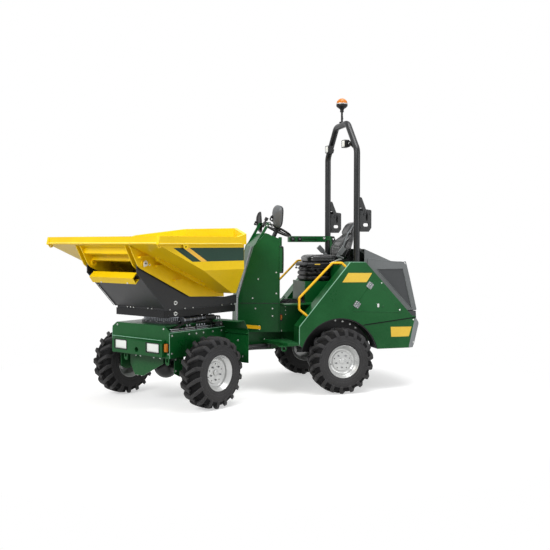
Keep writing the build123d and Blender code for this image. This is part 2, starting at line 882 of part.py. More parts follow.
# Mirrors with round corners, on bent arms from the tower's uprights
with BuildPart() as mirrors:
    for hand, z in ((1, 2056), (-1, 2006)):
        extrude(panel(across(-650), hand * 330, z, 168, 250, 50), amount=46)
        extrude(panel(across(-604), hand * 330, z, 60, 80, 12), amount=24)
        extrude(panel(across(-600), hand * 330, (1975 + z) / 2, 20, z - 1975 + 20), amount=20)
        extrude(panel(across(-600), hand * 278, 1975, 124, 20), amount=20)
        extrude(panel(across(-600), hand * 216, 1975, 20, 20), amount=60)
    add(console_tower.part, mode=Mode.SUBTRACT)
save(mirrors, "mirrors", rear_place)

# Seat: bellows base, cushion and backrest
with BuildPart() as seat_base:
    base_z = floor_z + seat_box_h
    extrude(panel(level(base_z), -1160, 0, 252, 382, 40), amount=1513 - base_z - rest_gap)
    for k in range(5):
        extrude(panel(level(base_z + 46 * k), -1160, 0, 280, 410, 50), amount=28)
save(seat_base, "seat_base", rear_place)
cushion_x = -1272.0
cushion_length = 430.0
with BuildPart() as seat_cushion:
    extrude(panel(level(1513), cushion_x, 0, cushion_length, 470, 90), amount=88)
    fillet(seat_cushion.edges().group_by(Axis.Z)[-1], 34)
    fillet(seat_cushion.edges().group_by(Axis.Z)[0], 20)
save(seat_cushion, "seat_cushion", rear_place)
back_x = cushion_x - cushion_length / 2 - rest_gap
with BuildPart() as seat_back:
    with BuildSketch(side(0)):
        with BuildLine():
            Polyline(
                (back_x, 1560),
                (back_x, 1600),
                (back_x - 158, 1990),
                (back_x - 180, 2022),
                (back_x - 226, 2010),
                (back_x - 248, 1975),
                (back_x - 92, 1590),
                (back_x - 52, 1560),
                close=True,
            )
        make_face()
    extrude(amount=215, both=True)
    fillet(seat_back.edges().filter_by(Axis.Y, reverse=True).group_by(SortBy.LENGTH)[-1], 30)
save(seat_back, "seat_back", rear_place)

# Line of the hatch hinges down the slope of the pod, and where the hinges sit along it
hinge_shares = (0.19, 0.8)
hinge_turn = degrees(atan2(hatch_low_z - hatch_top_z, hatch_low_x - hatch_top_x))


def hinge_point(share):
    """Place on the hinge line, as a share of its length from the top."""
    x = hatch_top_x + share * (hatch_low_x - hatch_top_x)
    z = hatch_top_z + share * (hatch_low_z - hatch_top_z)
    return x, z


# Side pods over the rear wheels, cut by round arches, each with a raised label plate
with BuildPart() as side_pods:
    for y in (pod_y, -pod_inner_y):
        with BuildSketch(side(y)):
            with BuildLine():
                Polyline(
                    (-1384, pod_top_z),
                    (-1581, pod_top_z - 2),
                    (-2181, 879),
                    (-2228, 871),
                    (-2143, 495),
                    (-848, 495),
                    (-761, 581),
                    (-761, 784),
                    close=True,
                )
            make_face()
            with Locations((rear_axle_x, axle_z)):
                Circle(arch_r, mode=Mode.SUBTRACT)
        extrude(amount=pod_y - pod_inner_y)
    # Lower tail of each pod is set in below the crease
    for y in (pod_y + 1, -pod_y + 7):
        crease = outline(side(y), (-1500, 700), (-1560, 791), (-2240, 867), (-2240, 480), (-1700, 480))
        extrude(crease, amount=8, mode=Mode.SUBTRACT)
    # Fixed leaves of the hatch hinges
    for y in (pod_y + hatch_t, -pod_y):
        for share in hinge_shares:
            x, z = hinge_point(share)
            with BuildSketch(side(y)):
                with Locations(Location((x, z), hinge_turn)):
                    with Locations((0, hinge_r + 14)):
                        Rectangle(70, 26)
            extrude(amount=hatch_t)
save(side_pods, "side_pods", rear_place)

# Black liners inside the rear wheel arches
with BuildPart() as arch_liners:
    for y in (pod_y - 14, -pod_inner_y - 20):
        liner = disc(side(y), rear_axle_x, axle_z, arch_r - rest_gap, arch_r - 14)
        extrude(liner, amount=pod_y - pod_inner_y - 34)
    below = panel(side(0), rear_axle_x, 0, 2 * arch_r + 10, 2 * 500)
    extrude(below, amount=pod_y, both=True, mode=Mode.SUBTRACT)
save(arch_liners, "arch_liners", rear_place)

# Fixed roll bar posts, each with a pair of slotted hinge plates and the fold pin behind it
with BuildPart() as roll_posts:
    for y in (post_y, -post_y):
        post_foot_z = pod_top_z - 20
        extrude(disc(level(post_foot_z), post_x, y, tube_r), amount=post_joint_z - joint_gap - post_foot_z)
        for plate_y in (y + 20, y - 12):
            with BuildSketch(side(plate_y)):
                with BuildLine():
                    Polyline(
                        (post_x, post_joint_z - 12),
                        (post_x - 60, post_joint_z - 12),
                        (post_x - 170, post_joint_z - 25),
                        (post_x - 181, post_joint_z - 36),
                        (post_x - 181, 1930),
                        (post_x - 148, 1884),
                        (post_x, 1884),
                        close=True,
                    )
                make_face()
                with Locations((post_x - 114, 1966)):
                    SlotOverall(78, 40, mode=Mode.SUBTRACT)
            extrude(amount=8)
        extrude(disc(side(y), fold_x, fold_z, fold_pin_r), amount=26, both=True)
    add(side_pods.part, mode=Mode.SUBTRACT)
    add(platform.part, mode=Mode.SUBTRACT)
save(roll_posts, "roll_posts", rear_place)

# Folding hoop with the plates that turn on the fold pins, and a slim mast for the beacon
with BuildPart() as roll_hoop:
    with BuildLine(across(post_x)):
        FilletPolyline(
            (post_y, post_joint_z),
            (post_y, hoop_shoulder_z),
            (hoop_top_half, hoop_top_z - tube_r),
            (-hoop_top_half, hoop_top_z - tube_r),
            (-post_y, hoop_shoulder_z),
            (-post_y, post_joint_z),
            radius=hoop_bend_r,
        )
    with BuildSketch(Plane(origin=(post_x, post_y, post_joint_z), z_dir=(0, 0, 1))):
        Circle(tube_r)
    sweep()
    for y in (post_y + 6, -post_y + 6):
        with BuildSketch(side(y)):
            with BuildLine():
                Polyline(
                    (post_x, 2200),
                    (post_x, 2296),
                    (post_x - 52, 2296),
                    (post_x - 64, 2286),
                    (post_x - 130, fold_z),
                    (post_x - 70, fold_z),
                    (post_x - 60, post_joint_z + 10),
                    close=True,
                )
            make_face()
            with Locations((fold_x, fold_z)):
                Circle(30)
                Circle(fold_pin_r + running_gap, mode=Mode.SUBTRACT)
        extrude(amount=plate_t)
save(roll_hoop, "roll_hoop", rear_place)

# Beacon on its pole, and two work lamps on brackets from the hoop
with BuildPart() as hoop_lamps:
    pole_z = hoop_top_z - 20
    extrude(disc(level(pole_z), post_x, 0, 13), amount=beacon_z - pole_z)
    extrude(disc(level(beacon_z - 44), post_x, 0, 24), amount=44)
    with Locations((post_x, 0, beacon_z)):
        Cone(30, beacon_r, 40, align=(Align.CENTER, Align.CENTER, Align.MIN))
    extrude(disc(level(beacon_z + 40), post_x, 0, beacon_r), amount=22)
    with Locations((post_x, 0, beacon_z + 62)):
        Sphere(beacon_r - 1, arc_size1=0)
    for hand in (1, -1):
        extrude(panel(across(post_x + 24), hand * 290, work_lamp_z, 112, 92, 16), amount=74)
        extrude(panel(across(post_x - 12), hand * 370, work_lamp_z - 6, 150, 30), amount=36)
    add(roll_hoop.part, mode=Mode.SUBTRACT)
save(hoop_lamps, "hoop_lamps", rear_place)

# Hood over the rear, open below, with recessed flanks and hinge arms
with BuildPart() as hood:
    with BuildSketch(side(0)):
        with BuildLine():
            Polyline(
                (-1650, 1678),
                (-2019, 1522),
                (-2164, 1514),
                (-2204, 1470),
                (-2339, 925),
                (-1650, 925),
                close=True,
            )
        make_face()
    extrude(amount=hood_half, both=True)
    with BuildSketch(side(0)):
        with BuildLine():
            Polyline(
                (-1600, 1691),
                (-2019, 1513),
                (-2160, 1506),
                (-2195, 1466),
                (-2329, 900),
                (-1600, 900),
                close=True,
            )
        make_face()
    extrude(amount=hood_half - hood_wall, both=True, mode=Mode.SUBTRACT)
    # Frame strips that leave a sunk triangle on each flank
    for y in (hood_half + 10, -hood_half):
        with BuildSketch(side(y)):
            with BuildLine():
                Polyline(
                    (-1690, 1560),
                    (-1770, 1560),
                    (-2019, 1522),
                    (-2164, 1514),
                    (-2204, 1470),
                    (-2337, 933),
                    (-2180, 933),
                    (-1690, 1470),
                    close=True,
                )
            make_face()
            with BuildLine():
                Polyline((-1800, 1440), (-2152, 1440), (-2276, 940), close=True)
            make_face(mode=Mode.SUBTRACT)
        extrude(amount=10)
    for y in (356, -344):
        with BuildSketch(side(y)):
            with BuildLine():
                Polyline((-1640, 1690), (-1800, 1610), (-1800, 1560), (-1640, 1652), close=True)
            make_face()
            with Locations((hood_hinge_x, hood_hinge_z)):
                Circle(24)
                Circle(10 + running_gap, mode=Mode.SUBTRACT)
        extrude(amount=plate_t)
save(hood, "hood", rear_place)

# Counterweight across the tail
with BuildPart() as counterweight:
    with BuildSketch(side(0)):
        with BuildLine():
            Polyline(
                (-2332, 917),
                (-2340, 778),
                (-2229, 479),
                (rail_end_x, 479),
                (rail_end_x, 917),
                close=True,
            )
        make_face()
    extrude(amount=pod_inner_y, both=True)
save(counterweight, "counterweight", rear_place)

# Battery under the hood
with BuildPart() as battery:
    extrude(panel(level(rail_top_z), -1850, 0, 440, 760), amount=620)
save(battery, "battery", rear_place)

# Grab rails beside the seat
rail_r = 14.0
with BuildPart() as grab_rails:
    with BuildLine(side(pod_y - 30)) as rail_path:
        FilletPolyline(
            (-1350, 1462),
            (-1290, 1517),
            (-1173, 1518),
            (-767, 1117),
            (-768, 985),
            (-900, 880),
            radius=34,
        )
    with BuildSketch(Plane(origin=rail_path.line @ 0, z_dir=rail_path.line % 0)):
        Circle(rail_r)
    sweep()
    mirror(about=Plane.XZ)
    add(side_pods.part, mode=Mode.SUBTRACT)
save(grab_rails, "grab_rails", rear_place)

# Control arm ahead of the right post, with a rounded front end
with BuildPart() as control_arm:
    with BuildSketch(side(-post_y + 40)):
        with Locations((post_x + 285, 1800)):
            Rectangle(530, 56)
        with Locations((post_x + 550, 1800)):
            Circle(28)
    extrude(amount=60)
    add(roll_posts.part, mode=Mode.SUBTRACT)
save(control_arm, "control_arm", rear_place)

# Side hatches with two hinge barrels along their sloping front edge
hinge_line = Vector(hatch_low_x - hatch_top_x, 0, hatch_low_z - hatch_top_z)
for hand, face_y, turn in (("left", pod_y + rest_gap + hatch_t, 1), ("right", -pod_y - rest_gap, -1)):
    with BuildPart() as hatch:
        flap = outline(
            side(face_y),
            (hatch_top_x, hatch_top_z),
            (hatch_low_x, hatch_low_z),
            (-2040, 925),
            (-1720, hatch_top_z),
        )
        extrude(flap, amount=hatch_t)
        for share in hinge_shares:
            x, z = hinge_point(share)
            barrel_plane = Plane(origin=(x, turn * (pod_y + hinge_out), z), z_dir=hinge_line)
            extrude(disc(barrel_plane, 0, 0, hinge_r), amount=35, both=True)
            with BuildSketch(side(face_y)):
                with Locations(Location((x, z), hinge_turn)):
                    with Locations((0, -17)):
                        Rectangle(70, 30)
            extrude(amount=hatch_t)
    save(hatch, f"hatch_{hand}", rear_place)

# Hydraulic cylinders, drawn along x from the pin of their barrel


def barrel_and_rod(length, barrel_length, barrel_r, rod_r, eye_r, eye_half):
    """A barrel with its bored eye, and its rod drawn out to a given length between pins."""
    neck = eye_r + 14
    with BuildPart() as barrel:
        extrude(disc(Plane.XZ, 0, 0, eye_r), amount=eye_half, both=True)
        extrude(disc(Plane.YZ, 0, 0, eye_half), amount=neck + 6)
        extrude(disc(Plane.YZ.offset(neck), 0, 0, barrel_r), amount=barrel_length - neck)
        extrude(disc(Plane.YZ.offset(barrel_length - 40), 0, 0, barrel_r + 5), amount=40)
        bore = disc(Plane.YZ.offset(neck + 12), 0, 0, rod_r + running_gap)
        extrude(bore, amount=barrel_length, mode=Mode.SUBTRACT)
        eye_bore = disc(Plane.XZ, 0, 0, cylinder_pin_r + running_gap)
        extrude(eye_bore, amount=eye_half, both=True, mode=Mode.SUBTRACT)
    with BuildPart() as rod:
        extrude(disc(Plane.XZ, length, 0, eye_r), amount=eye_half, both=True)
        extrude(disc(Plane.YZ.offset(neck + 20), 0, 0, rod_r), amount=length - neck - 20)
        extrude(disc(Plane.XZ, length, 0, cylinder_pin_r), amount=eye_half, both=True, mode=Mode.SUBTRACT)
    return barrel, rod


# Tipping cylinder inside the console
tip_reach = Vector(tip_eye_x - tip_base_x, 0, tip_eye_z - tip_base_z)
tip_angle = Vector(1, 0, 0).get_angle(tip_reach)
tip_barrel, tip_rod = barrel_and_rod(tip_reach.length, 600, 44, 24, 34, tip_eye_half)
tip_place = front_place * Pos(tip_base_x, 0, tip_base_z) * Rot(0, -tip_angle, 0)
save(tip_barrel, "tip_barrel", tip_place)
save(tip_rod, "tip_rod", tip_place)

# Steering cylinder beside the articulation pin
steer_eye = Rot(0, 0, rest_steer) * Pos(steer_lug_x, steer_lug_y, 0)
steer_reach = steer_eye.position - Vector(steer_base_x, steer_base_y, 0)
steer_angle = Vector(1, 0, 0).get_angle(steer_reach)
steer_barrel, steer_rod = barrel_and_rod(steer_reach.length, 470, 34, 19, 28, steer_eye_half)
steer_base = Pos(steer_base_x, steer_base_y, steer_z)
steer_place = rear_place * steer_base * Rot(0, 0, steer_angle) * Rot(90, 0, 0)
save(steer_barrel, "steer_barrel", steer_place)
save(steer_rod, "steer_rod", steer_place)
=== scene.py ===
from math import cos, pi, radians, sin

import bmesh
import bpy
from mathutils import Matrix, Vector


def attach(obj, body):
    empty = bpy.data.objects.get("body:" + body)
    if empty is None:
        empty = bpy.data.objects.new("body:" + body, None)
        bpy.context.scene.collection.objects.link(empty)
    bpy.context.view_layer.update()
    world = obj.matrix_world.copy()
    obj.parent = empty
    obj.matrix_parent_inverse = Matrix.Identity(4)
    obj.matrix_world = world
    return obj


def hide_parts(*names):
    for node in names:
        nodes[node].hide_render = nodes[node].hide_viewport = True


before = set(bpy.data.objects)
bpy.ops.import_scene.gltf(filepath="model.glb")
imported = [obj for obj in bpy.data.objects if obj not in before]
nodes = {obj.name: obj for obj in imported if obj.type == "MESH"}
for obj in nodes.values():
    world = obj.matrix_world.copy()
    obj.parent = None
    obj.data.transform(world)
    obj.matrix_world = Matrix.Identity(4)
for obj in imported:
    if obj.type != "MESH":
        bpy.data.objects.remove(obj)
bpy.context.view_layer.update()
scene = bpy.context.scene

# Lengths of pieces are in millimetres, in the frame of the half of the machine that a piece belongs to:
# x forward, y left, z up, from the ground below the articulation pin.
MM = Matrix.Scale(0.001, 4)
PIN = (0.172, -0.459, 0)
STEERED = radians(35)
REAR = Matrix.Translation(PIN)
FRONT = REAR @ Matrix.Rotation(STEERED, 4, "Z")
SIDES = (1, -1)  # left, right

CAMERA_AT, CAMERA_YAW, CAMERA_PITCH, CAMERA_LENS = (2.1167, 8.5512, 1.7392), -1.8532, -0.0407, 50.06


# Camera
def aim(location, yaw, pitch, lens):
    forward = Vector((cos(yaw) * cos(pitch), sin(yaw) * cos(pitch), sin(pitch)))
    right = Vector((sin(yaw), -cos(yaw), 0))
    up = right.cross(forward)
    camera = bpy.data.objects.new("view", bpy.data.cameras.new("view"))
    scene.collection.objects.link(camera)
    turn = Matrix((right, up, -forward)).transposed().to_4x4()
    camera.matrix_world = Matrix.Translation(location) @ turn
    camera.data.lens = lens
    camera.data.sensor_width = 36
    camera.data.clip_end = 200
    scene.camera = camera


aim(CAMERA_AT, CAMERA_YAW, CAMERA_PITCH, CAMERA_LENS)


# Materials
def srgb(r, g, b):
    return tuple(((c / 255 + 0.055) / 1.055) ** 2.4 if c > 10 else c / 255 / 12.92 for c in (r, g, b)) + (1,)


def toned(colour, gain, lift=0.0):
    """A colour made darker or lighter."""
    return tuple(min(1.0, c * gain + lift) for c in colour[:3]) + (1,)


class Graph:
    """Short ways to add and link the nodes of a material or a world."""

    def __init__(self, tree):
        self.tree, self.add, self.link = tree, tree.nodes.new, tree.links.new

    def put(self, socket, value):
        if isinstance(value, bpy.types.NodeSocket):
            self.link(value, socket)
        else:
            socket.default_value = value

    def field(self, kind, scale, detail, vector=None):
        node = self.add("ShaderNodeTexNoise" if kind == "noise" else "ShaderNodeTexVoronoi")
        node.inputs["Scale"].default_value = scale
        node.inputs["Detail"].default_value = detail
        if vector:
            self.link(vector, node.inputs["Vector"])
        return node.outputs["Fac" if kind == "noise" else "Distance"]

    def ramp(self, value, low, high, to_low=0.0, to_high=1.0):
        node = self.add("ShaderNodeMapRange")
        node.interpolation_type = "SMOOTHSTEP"
        for key, number in zip(("From Min", "From Max", "To Min", "To Max"), (low, high, to_low, to_high)):
            node.inputs[key].default_value = number
        self.link(value, node.inputs["Value"])
        return node.outputs["Result"]

    def maths(self, op, a, b):
        node = self.add("ShaderNodeMath")
        node.operation = op
        self.put(node.inputs[0], a)
        self.put(node.inputs[1], b)
        return node.outputs["Value"]

    def mixed(self, share, a, b):
        node = self.add("ShaderNodeMix")
        node.data_type = "RGBA"
        for socket, value in ((node.inputs["Factor"], share), (node.inputs[6], a), (node.inputs[7], b)):
            self.put(socket, value)
        return node.outputs[2]

    def seen(self):
        """1 for what the camera sees, straight or by a mirror or glass, and 0 for light that falls on things."""
        path = self.add("ShaderNodeLightPath")
        value = path.outputs["Is Camera Ray"]
        for other in ("Is Glossy Ray", "Is Transmission Ray"):
            value = self.maths("MAXIMUM", value, path.outputs[other])
        return value


EDGE_WEAR_AND_HIGHLIGHT_RADIUS = 0.004
DUST_TOP, DUST_FOOT = 1.1, 0.1
GRAIN_DEPTH = 0.0006  # these four in metres


def finish_of(name, colour, rough=0.4, metal=0.0, spec=0.5, coat=0.0, vary=0.08, grain=900, bump=0.15,
              wear=0.25, worn_and_highlight_colour=None, dust=0.0, stretch=(1, 1, 1), pattern="noise", painted_glow=0.0,
              sheen=0.0, spread=2.5):
    """A procedural finish: colour that varies in broad and fine patches, edges lighter partly as paint wear
    and partly as a painted highlight, dust towards the ground, a fine surface grain, and roughness that varies with
    them."""
    m = bpy.data.materials.new(name)
    m.use_nodes = True
    g = Graph(m.node_tree)
    surface = g.tree.nodes["Principled BSDF"]
    place = g.add("ShaderNodeTexCoord")
    mapping = g.add("ShaderNodeMapping")
    mapping.inputs["Scale"].default_value = stretch
    g.link(place.outputs["Object"], mapping.inputs["Vector"])
    vector = mapping.outputs["Vector"]

    broad, fine = g.field("noise", spread, 3.0, vector), g.field("noise", spread * 22, 5.0, vector)
    patches = g.maths("ADD", g.maths("MULTIPLY", broad, 0.7), g.maths("MULTIPLY", fine, 0.3))
    shade = g.mixed(g.ramp(patches, 0.35, 0.65), toned(colour, 1 - vary), toned(colour, 1 + vary, 0.004))
    # Lighter edges from a bevel mask: partly paint wear, partly a painted highlight along folded edges
    if wear:
        rounded_edge = g.add("ShaderNodeBevel")
        rounded_edge.samples = 4
        rounded_edge.inputs["Radius"].default_value = EDGE_WEAR_AND_HIGHLIGHT_RADIUS
        shape = g.add("ShaderNodeNewGeometry")
        turn = g.add("ShaderNodeVectorMath")
        turn.operation = "DOT_PRODUCT"
        g.link(rounded_edge.outputs["Normal"], turn.inputs[0])
        g.link(shape.outputs["Normal"], turn.inputs[1])
        edge = g.maths("MULTIPLY", g.ramp(turn.outputs["Value"], 0.99, 0.8, 0, wear), g.ramp(fine, 0.3, 0.6, 0.45, 1))
        shade = g.mixed(edge, shade, worn_and_highlight_colour or toned(colour, 1.9, 0.02))
    if dust:
        split = g.add("ShaderNodeSeparateXYZ")
        g.link(place.outputs["Object"], split.inputs[0])
        low = g.maths("MULTIPLY", g.ramp(split.outputs["Z"], DUST_TOP, DUST_FOOT, 0, dust),
                      g.ramp(fine, 0.38, 0.62, 0.1, 1))
        shade = g.mixed(low, shade, srgb(150, 142, 128))
    g.link(shade, surface.inputs["Base Color"])
    g.link(g.ramp(patches, 0.3, 0.7, max(0.03, rough * 0.85), min(1.0, rough * 1.15)), surface.inputs["Roughness"])
    for key, value in (("Metallic", metal), ("Specular IOR Level", spec), ("Coat Weight", coat),
                       ("Coat Roughness", 0.12), ("Sheen Weight", sheen)):
        surface.inputs[key].default_value = value
    # Emission that paints a glow on parts that are not lit
    if painted_glow:
        surface.inputs["Emission Color"].default_value = colour
        surface.inputs["Emission Strength"].default_value = painted_glow
    relief = g.add("ShaderNodeBump")
    relief.inputs["Strength"].default_value = bump
    relief.inputs["Distance"].default_value = GRAIN_DEPTH
    g.link(g.field(pattern, grain, 2.0, vector), relief.inputs["Height"])
    g.link(relief.outputs["Normal"], surface.inputs["Normal"])
    return m


# Each worn edge colour below is partly paint wear and partly a painted highlight; green's is the lit green of lower
# panels
GREEN = finish_of("green_paint", srgb(5, 79, 32), 0.32, spec=0.2, coat=0.03, vary=0.1, bump=0.05, grain=260,
                  worn_and_highlight_colour=srgb(70, 150, 105), dust=0.03)
YELLOW = finish_of("yellow_paint", srgb(242, 202, 2), 0.36, spec=0.22, coat=0.06, vary=0.05, bump=0.05, grain=260,
                   worn_and_highlight_colour=srgb(255, 232, 120), dust=0.02)
AMBER_PAINT = finish_of("rail_yellow", srgb(240, 184, 14), 0.32, spec=0.35, coat=0.1, vary=0.05, bump=0.04, grain=300)
STEEL = finish_of("bare_steel", srgb(150, 153, 158), 0.3, metal=1.0, vary=0.2, bump=0.12, stretch=(1, 6, 1))
ZINC = finish_of("zinc_bolts", srgb(205, 207, 204), 0.28, metal=0.7, vary=0.12, bump=0.1, wear=0)
NUT = finish_of("wheel_nuts", srgb(122, 124, 126), 0.34, metal=0.8, vary=0.2, bump=0.15, wear=0.3)
BLACK = finish_of("black_paint", srgb(20, 22, 24), 0.33, spec=0.32, coat=0.05, vary=0.15, bump=0.06, grain=320,
                  worn_and_highlight_colour=srgb(95, 98, 102), dust=0.03)
CONSOLE = finish_of("console_grey", srgb(30, 31, 34), 0.36, spec=0.34, vary=0.12, bump=0.06, grain=320,
                    worn_and_highlight_colour=srgb(110, 113, 118))
GREY = finish_of("grey_paint", srgb(104, 107, 108), 0.46, spec=0.3, vary=0.07, bump=0.22, grain=520,
                 worn_and_highlight_colour=srgb(190, 193, 193))
DARK_GREY = finish_of("inset_grey", srgb(66, 68, 70), 0.5, spec=0.26, vary=0.14, bump=0.25, grain=520, wear=0.1,
                      spread=1.2)
TAIL_GREY = finish_of("tail_grey", srgb(128, 132, 134), 0.5, spec=0.3, vary=0.08, bump=0.2, grain=420)
RIM = finish_of("rim_paint", srgb(196, 197, 196), 0.3, metal=0.45, vary=0.06, bump=0.05, dust=0.04,
                worn_and_highlight_colour=srgb(240, 240, 238))
RUBBER = finish_of("tyre_rubber", srgb(42, 42, 44), 0.6, spec=0.22, vary=0.2, grain=420, bump=0.3, wear=0.5,
                   worn_and_highlight_colour=srgb(104, 104, 106), dust=0.05, spread=6)
# Near-black that paints shade: the tread floor between the lugs, and creases, gaps, holes and slots
PAINTED_SHADE = finish_of("painted_shade", srgb(17, 17, 18), 0.78, spec=0.12, vary=0.2, grain=420, bump=0.3, wear=0, spread=6)
DEEP_BLACK = finish_of("turntable_black", srgb(13, 14, 16), 0.3, spec=0.24, vary=0.15, bump=0.06, grain=320,
                       worn_and_highlight_colour=srgb(88, 91, 95))
DARK_STEEL = finish_of("dark_steel", srgb(78, 80, 84), 0.34, metal=0.75, vary=0.2, bump=0.08, wear=0.4,
                       worn_and_highlight_colour=srgb(190, 192, 195))
# Pale green that paints highlights along lit edges and on the pod's top face
GREEN_HIGHLIGHT = finish_of("painted_green_highlight", srgb(134, 184, 156), 0.34, spec=0.3, vary=0.12, bump=0.05, wear=0)
# Pale yellow that paints the highlight along the skip's lip and side bands
YELLOW_HIGHLIGHT = finish_of("painted_yellow_highlight", srgb(255, 236, 130), 0.36, spec=0.3, vary=0.08, bump=0.05, wear=0)
PLASTIC = finish_of("black_plastic", srgb(16, 17, 18), 0.44, spec=0.32, vary=0.12, grain=1500, bump=0.25,
                    worn_and_highlight_colour=srgb(66, 68, 71))
VINYL = finish_of("seat_vinyl", srgb(17, 18, 20), 0.27, coat=0.1, vary=0.15, grain=620, bump=0.25,
                  pattern="cells", wear=0, sheen=0.08)
# The faint emission paints a glow on the lenses of lamps that are off
LENS = finish_of("lamp_lens", srgb(226, 229, 224), 0.14, vary=0.05, grain=220, bump=0.4, wear=0, coat=0.6,
                 pattern="cells", painted_glow=0.06)
AMBER = finish_of("amber_lens", srgb(190, 108, 0), 0.2, spec=0.3, vary=0.2, grain=260, bump=0.3, wear=0, coat=0.15)
CHROME = finish_of("chromed_rod", srgb(205, 208, 212), 0.12, metal=1.0, vary=0.05, bump=0.03, wear=0)
GLASS = finish_of("mirror_glass", srgb(205, 212, 216), 0.05, metal=1.0, vary=0.03, bump=0.01, wear=0)
SHELL = finish_of("mirror_shell", srgb(92, 95, 98), 0.4, spec=0.4, vary=0.08, bump=0.1, grain=420)
DECAL_DARK = finish_of("stripe_dark", srgb(22, 58, 44), 0.42, spec=0.25, vary=0.06, bump=0.05, wear=0)
DECAL_PALE = finish_of("stripe_pale", srgb(246, 190, 72), 0.42, spec=0.25, vary=0.05, bump=0.05, wear=0)
LABEL = finish_of("label_yellow", srgb(226, 188, 66), 0.42, spec=0.25, vary=0.06, bump=0.05, wear=0)
WEBBING = finish_of("belt_webbing", srgb(120, 124, 126), 0.7, spec=0.2, vary=0.15, grain=300, bump=0.6, wear=0,
                    stretch=(1, 1, 6), sheen=0.2)
MAT = finish_of("floor_mat", srgb(24, 25, 27), 0.8, spec=0.15, vary=0.15, grain=160, bump=0.6, pattern="cells")

looks = {
    "green_paint": GREEN, "yellow_paint": YELLOW, "bare_steel": STEEL, "black_paint": BLACK, "grey_paint": GREY,
    "rim_paint": RIM, "tyre_rubber": RUBBER, "black_plastic": PLASTIC, "seat_vinyl": VINYL, "lamp_lens": LENS,
    "chromed_rod": CHROME,
}
own_looks = {"tip_console": CONSOLE, "grab_rails": AMBER_PAINT, "counterweight": DARK_GREY, "turntable": DEEP_BLACK,
             "battery": GREEN, "slew_drive": DARK_STEEL, "steering_wheel": PLASTIC}
for name, node in nodes.items():
    for entry in node.material_slots:
        entry.material = own_looks.get(name, looks[entry.material.name.split(".")[0]])

# Floor, world and lamps, in metres
FLOOR_HALF = 60
FADE_FROM, FADE_TO = 2.3, 3.9
FLOOR_LIFT = 0.5
SKY_STRENGTH = 0.6


def even(level):
    """A neutral grey or white."""
    return (level, level, level, 1)


def stage_floor():
    """Floor that takes the shadow near the machine and fades to plain white away from it."""
    bm = bmesh.new()
    bmesh.ops.create_grid(bm, x_segments=1, y_segments=1, size=FLOOR_HALF)
    mesh = bpy.data.meshes.new("floor")
    bm.to_mesh(mesh)
    bm.free()
    floor = bpy.data.objects.new("floor", mesh)
    scene.collection.objects.link(floor)
    m = bpy.data.materials.new("floor")
    m.use_nodes = True
    g = Graph(m.node_tree)
    surface = g.tree.nodes["Principled BSDF"]
    seen = g.seen()
    shade = g.mixed(g.field("noise", 0.6, 2.0), even(0.62), even(0.66))
    g.link(g.mixed(seen, even(0.36), shade), surface.inputs["Base Color"])
    surface.inputs["Roughness"].default_value = 0.9
    surface.inputs["Specular IOR Level"].default_value = 0.1
    lift = g.add("ShaderNodeEmission")
    g.link(g.maths("MULTIPLY", seen, FLOOR_LIFT), lift.inputs["Strength"])
    both = g.add("ShaderNodeAddShader")
    g.link(surface.outputs[0], both.inputs[0])
    g.link(lift.outputs[0], both.inputs[1])
    place = g.add("ShaderNodeTexCoord")
    distance = g.add("ShaderNodeVectorMath")
    distance.operation = "LENGTH"
    g.link(place.outputs["Object"], distance.inputs[0])
    white = g.add("ShaderNodeEmission")
    pick = g.add("ShaderNodeMixShader")
    away = g.ramp(distance.outputs["Value"], FADE_FROM, FADE_TO)
    g.link(g.maths("MULTIPLY", away, seen), pick.inputs["Fac"])
    g.link(both.outputs[0], pick.inputs[1])
    g.link(white.outputs[0], pick.inputs[2])
    g.link(pick.outputs[0], g.tree.nodes["Material Output"].inputs["Surface"])
    floor.data.materials.append(m)


def sky(strength):
    """White behind the machine, and a softer white that lights it."""
    world = bpy.data.worlds.new("studio")
    world.use_nodes = True
    scene.world = world
    g = Graph(world.node_tree)
    background = g.tree.nodes["Background"]
    g.link(g.ramp(g.seen(), 0, 1, strength, 1.0), background.inputs["Strength"])
    background.inputs["Color"].default_value = even(1)


def lamp(name, location, target, size, power):
    light = bpy.data.lights.new(name, "AREA")
    light.shape = "DISK"
    light.size = size
    light.energy = power
    o = bpy.data.objects.new(name, light)
    scene.collection.objects.link(o)
    direction = Vector(target) - Vector(location)
    o.matrix_world = Matrix.Translation(location) @ direction.to_track_quat("-Z", "Y").to_matrix().to_4x4()


stage_floor()
sky(SKY_STRENGTH)
lamp("key", (7.5, 5.5, 6.5), (0.3, 0, 1.0), 4.0, 620)
lamp("top", (-1.0, 1.5, 8.5), (0, 0, 1.0), 5.0, 420)
lamp("fill", (-6.5, 7.0, 3.0), (0, 0, 1.0), 4.0, 180)
scene.view_settings.view_transform = "Standard"


# Mesh tools, all in millimetres. A plane turns a flat outline's u, v and its level w into a point.
def along_x(u, v, w):
    return Vector((w, u, v))


def along_y(u, v, w):
    return Vector((u, w, v))


def along_z(u, v, w):
    return Vector((u, v, w))


def span(hand, low, high, middle=0):
    """A range out from the middle on the left (1), or its mirror image on the right (-1)."""
    return (middle + low, middle + high) if hand == 1 else (middle - high, middle - low)


def arc(x, y, rx, ry, first, last, step):
    """Points on an ellipse, from one angle in degrees to another."""
    return [(x + rx * cos(radians(a)), y + ry * sin(radians(a))) for a in range(first, last + 1, step)]


def around(n):
    """Angles of n even steps round a full turn."""
    return [2 * pi * k / n for k in range(n)]


def band(bm, a, b, mat=0):
    """Faces between two rings of vertices."""
    for k in range(len(a)):
        j = (k + 1) % len(a)
        bm.faces.new((a[k], a[j], b[j], b[k])).material_index = mat


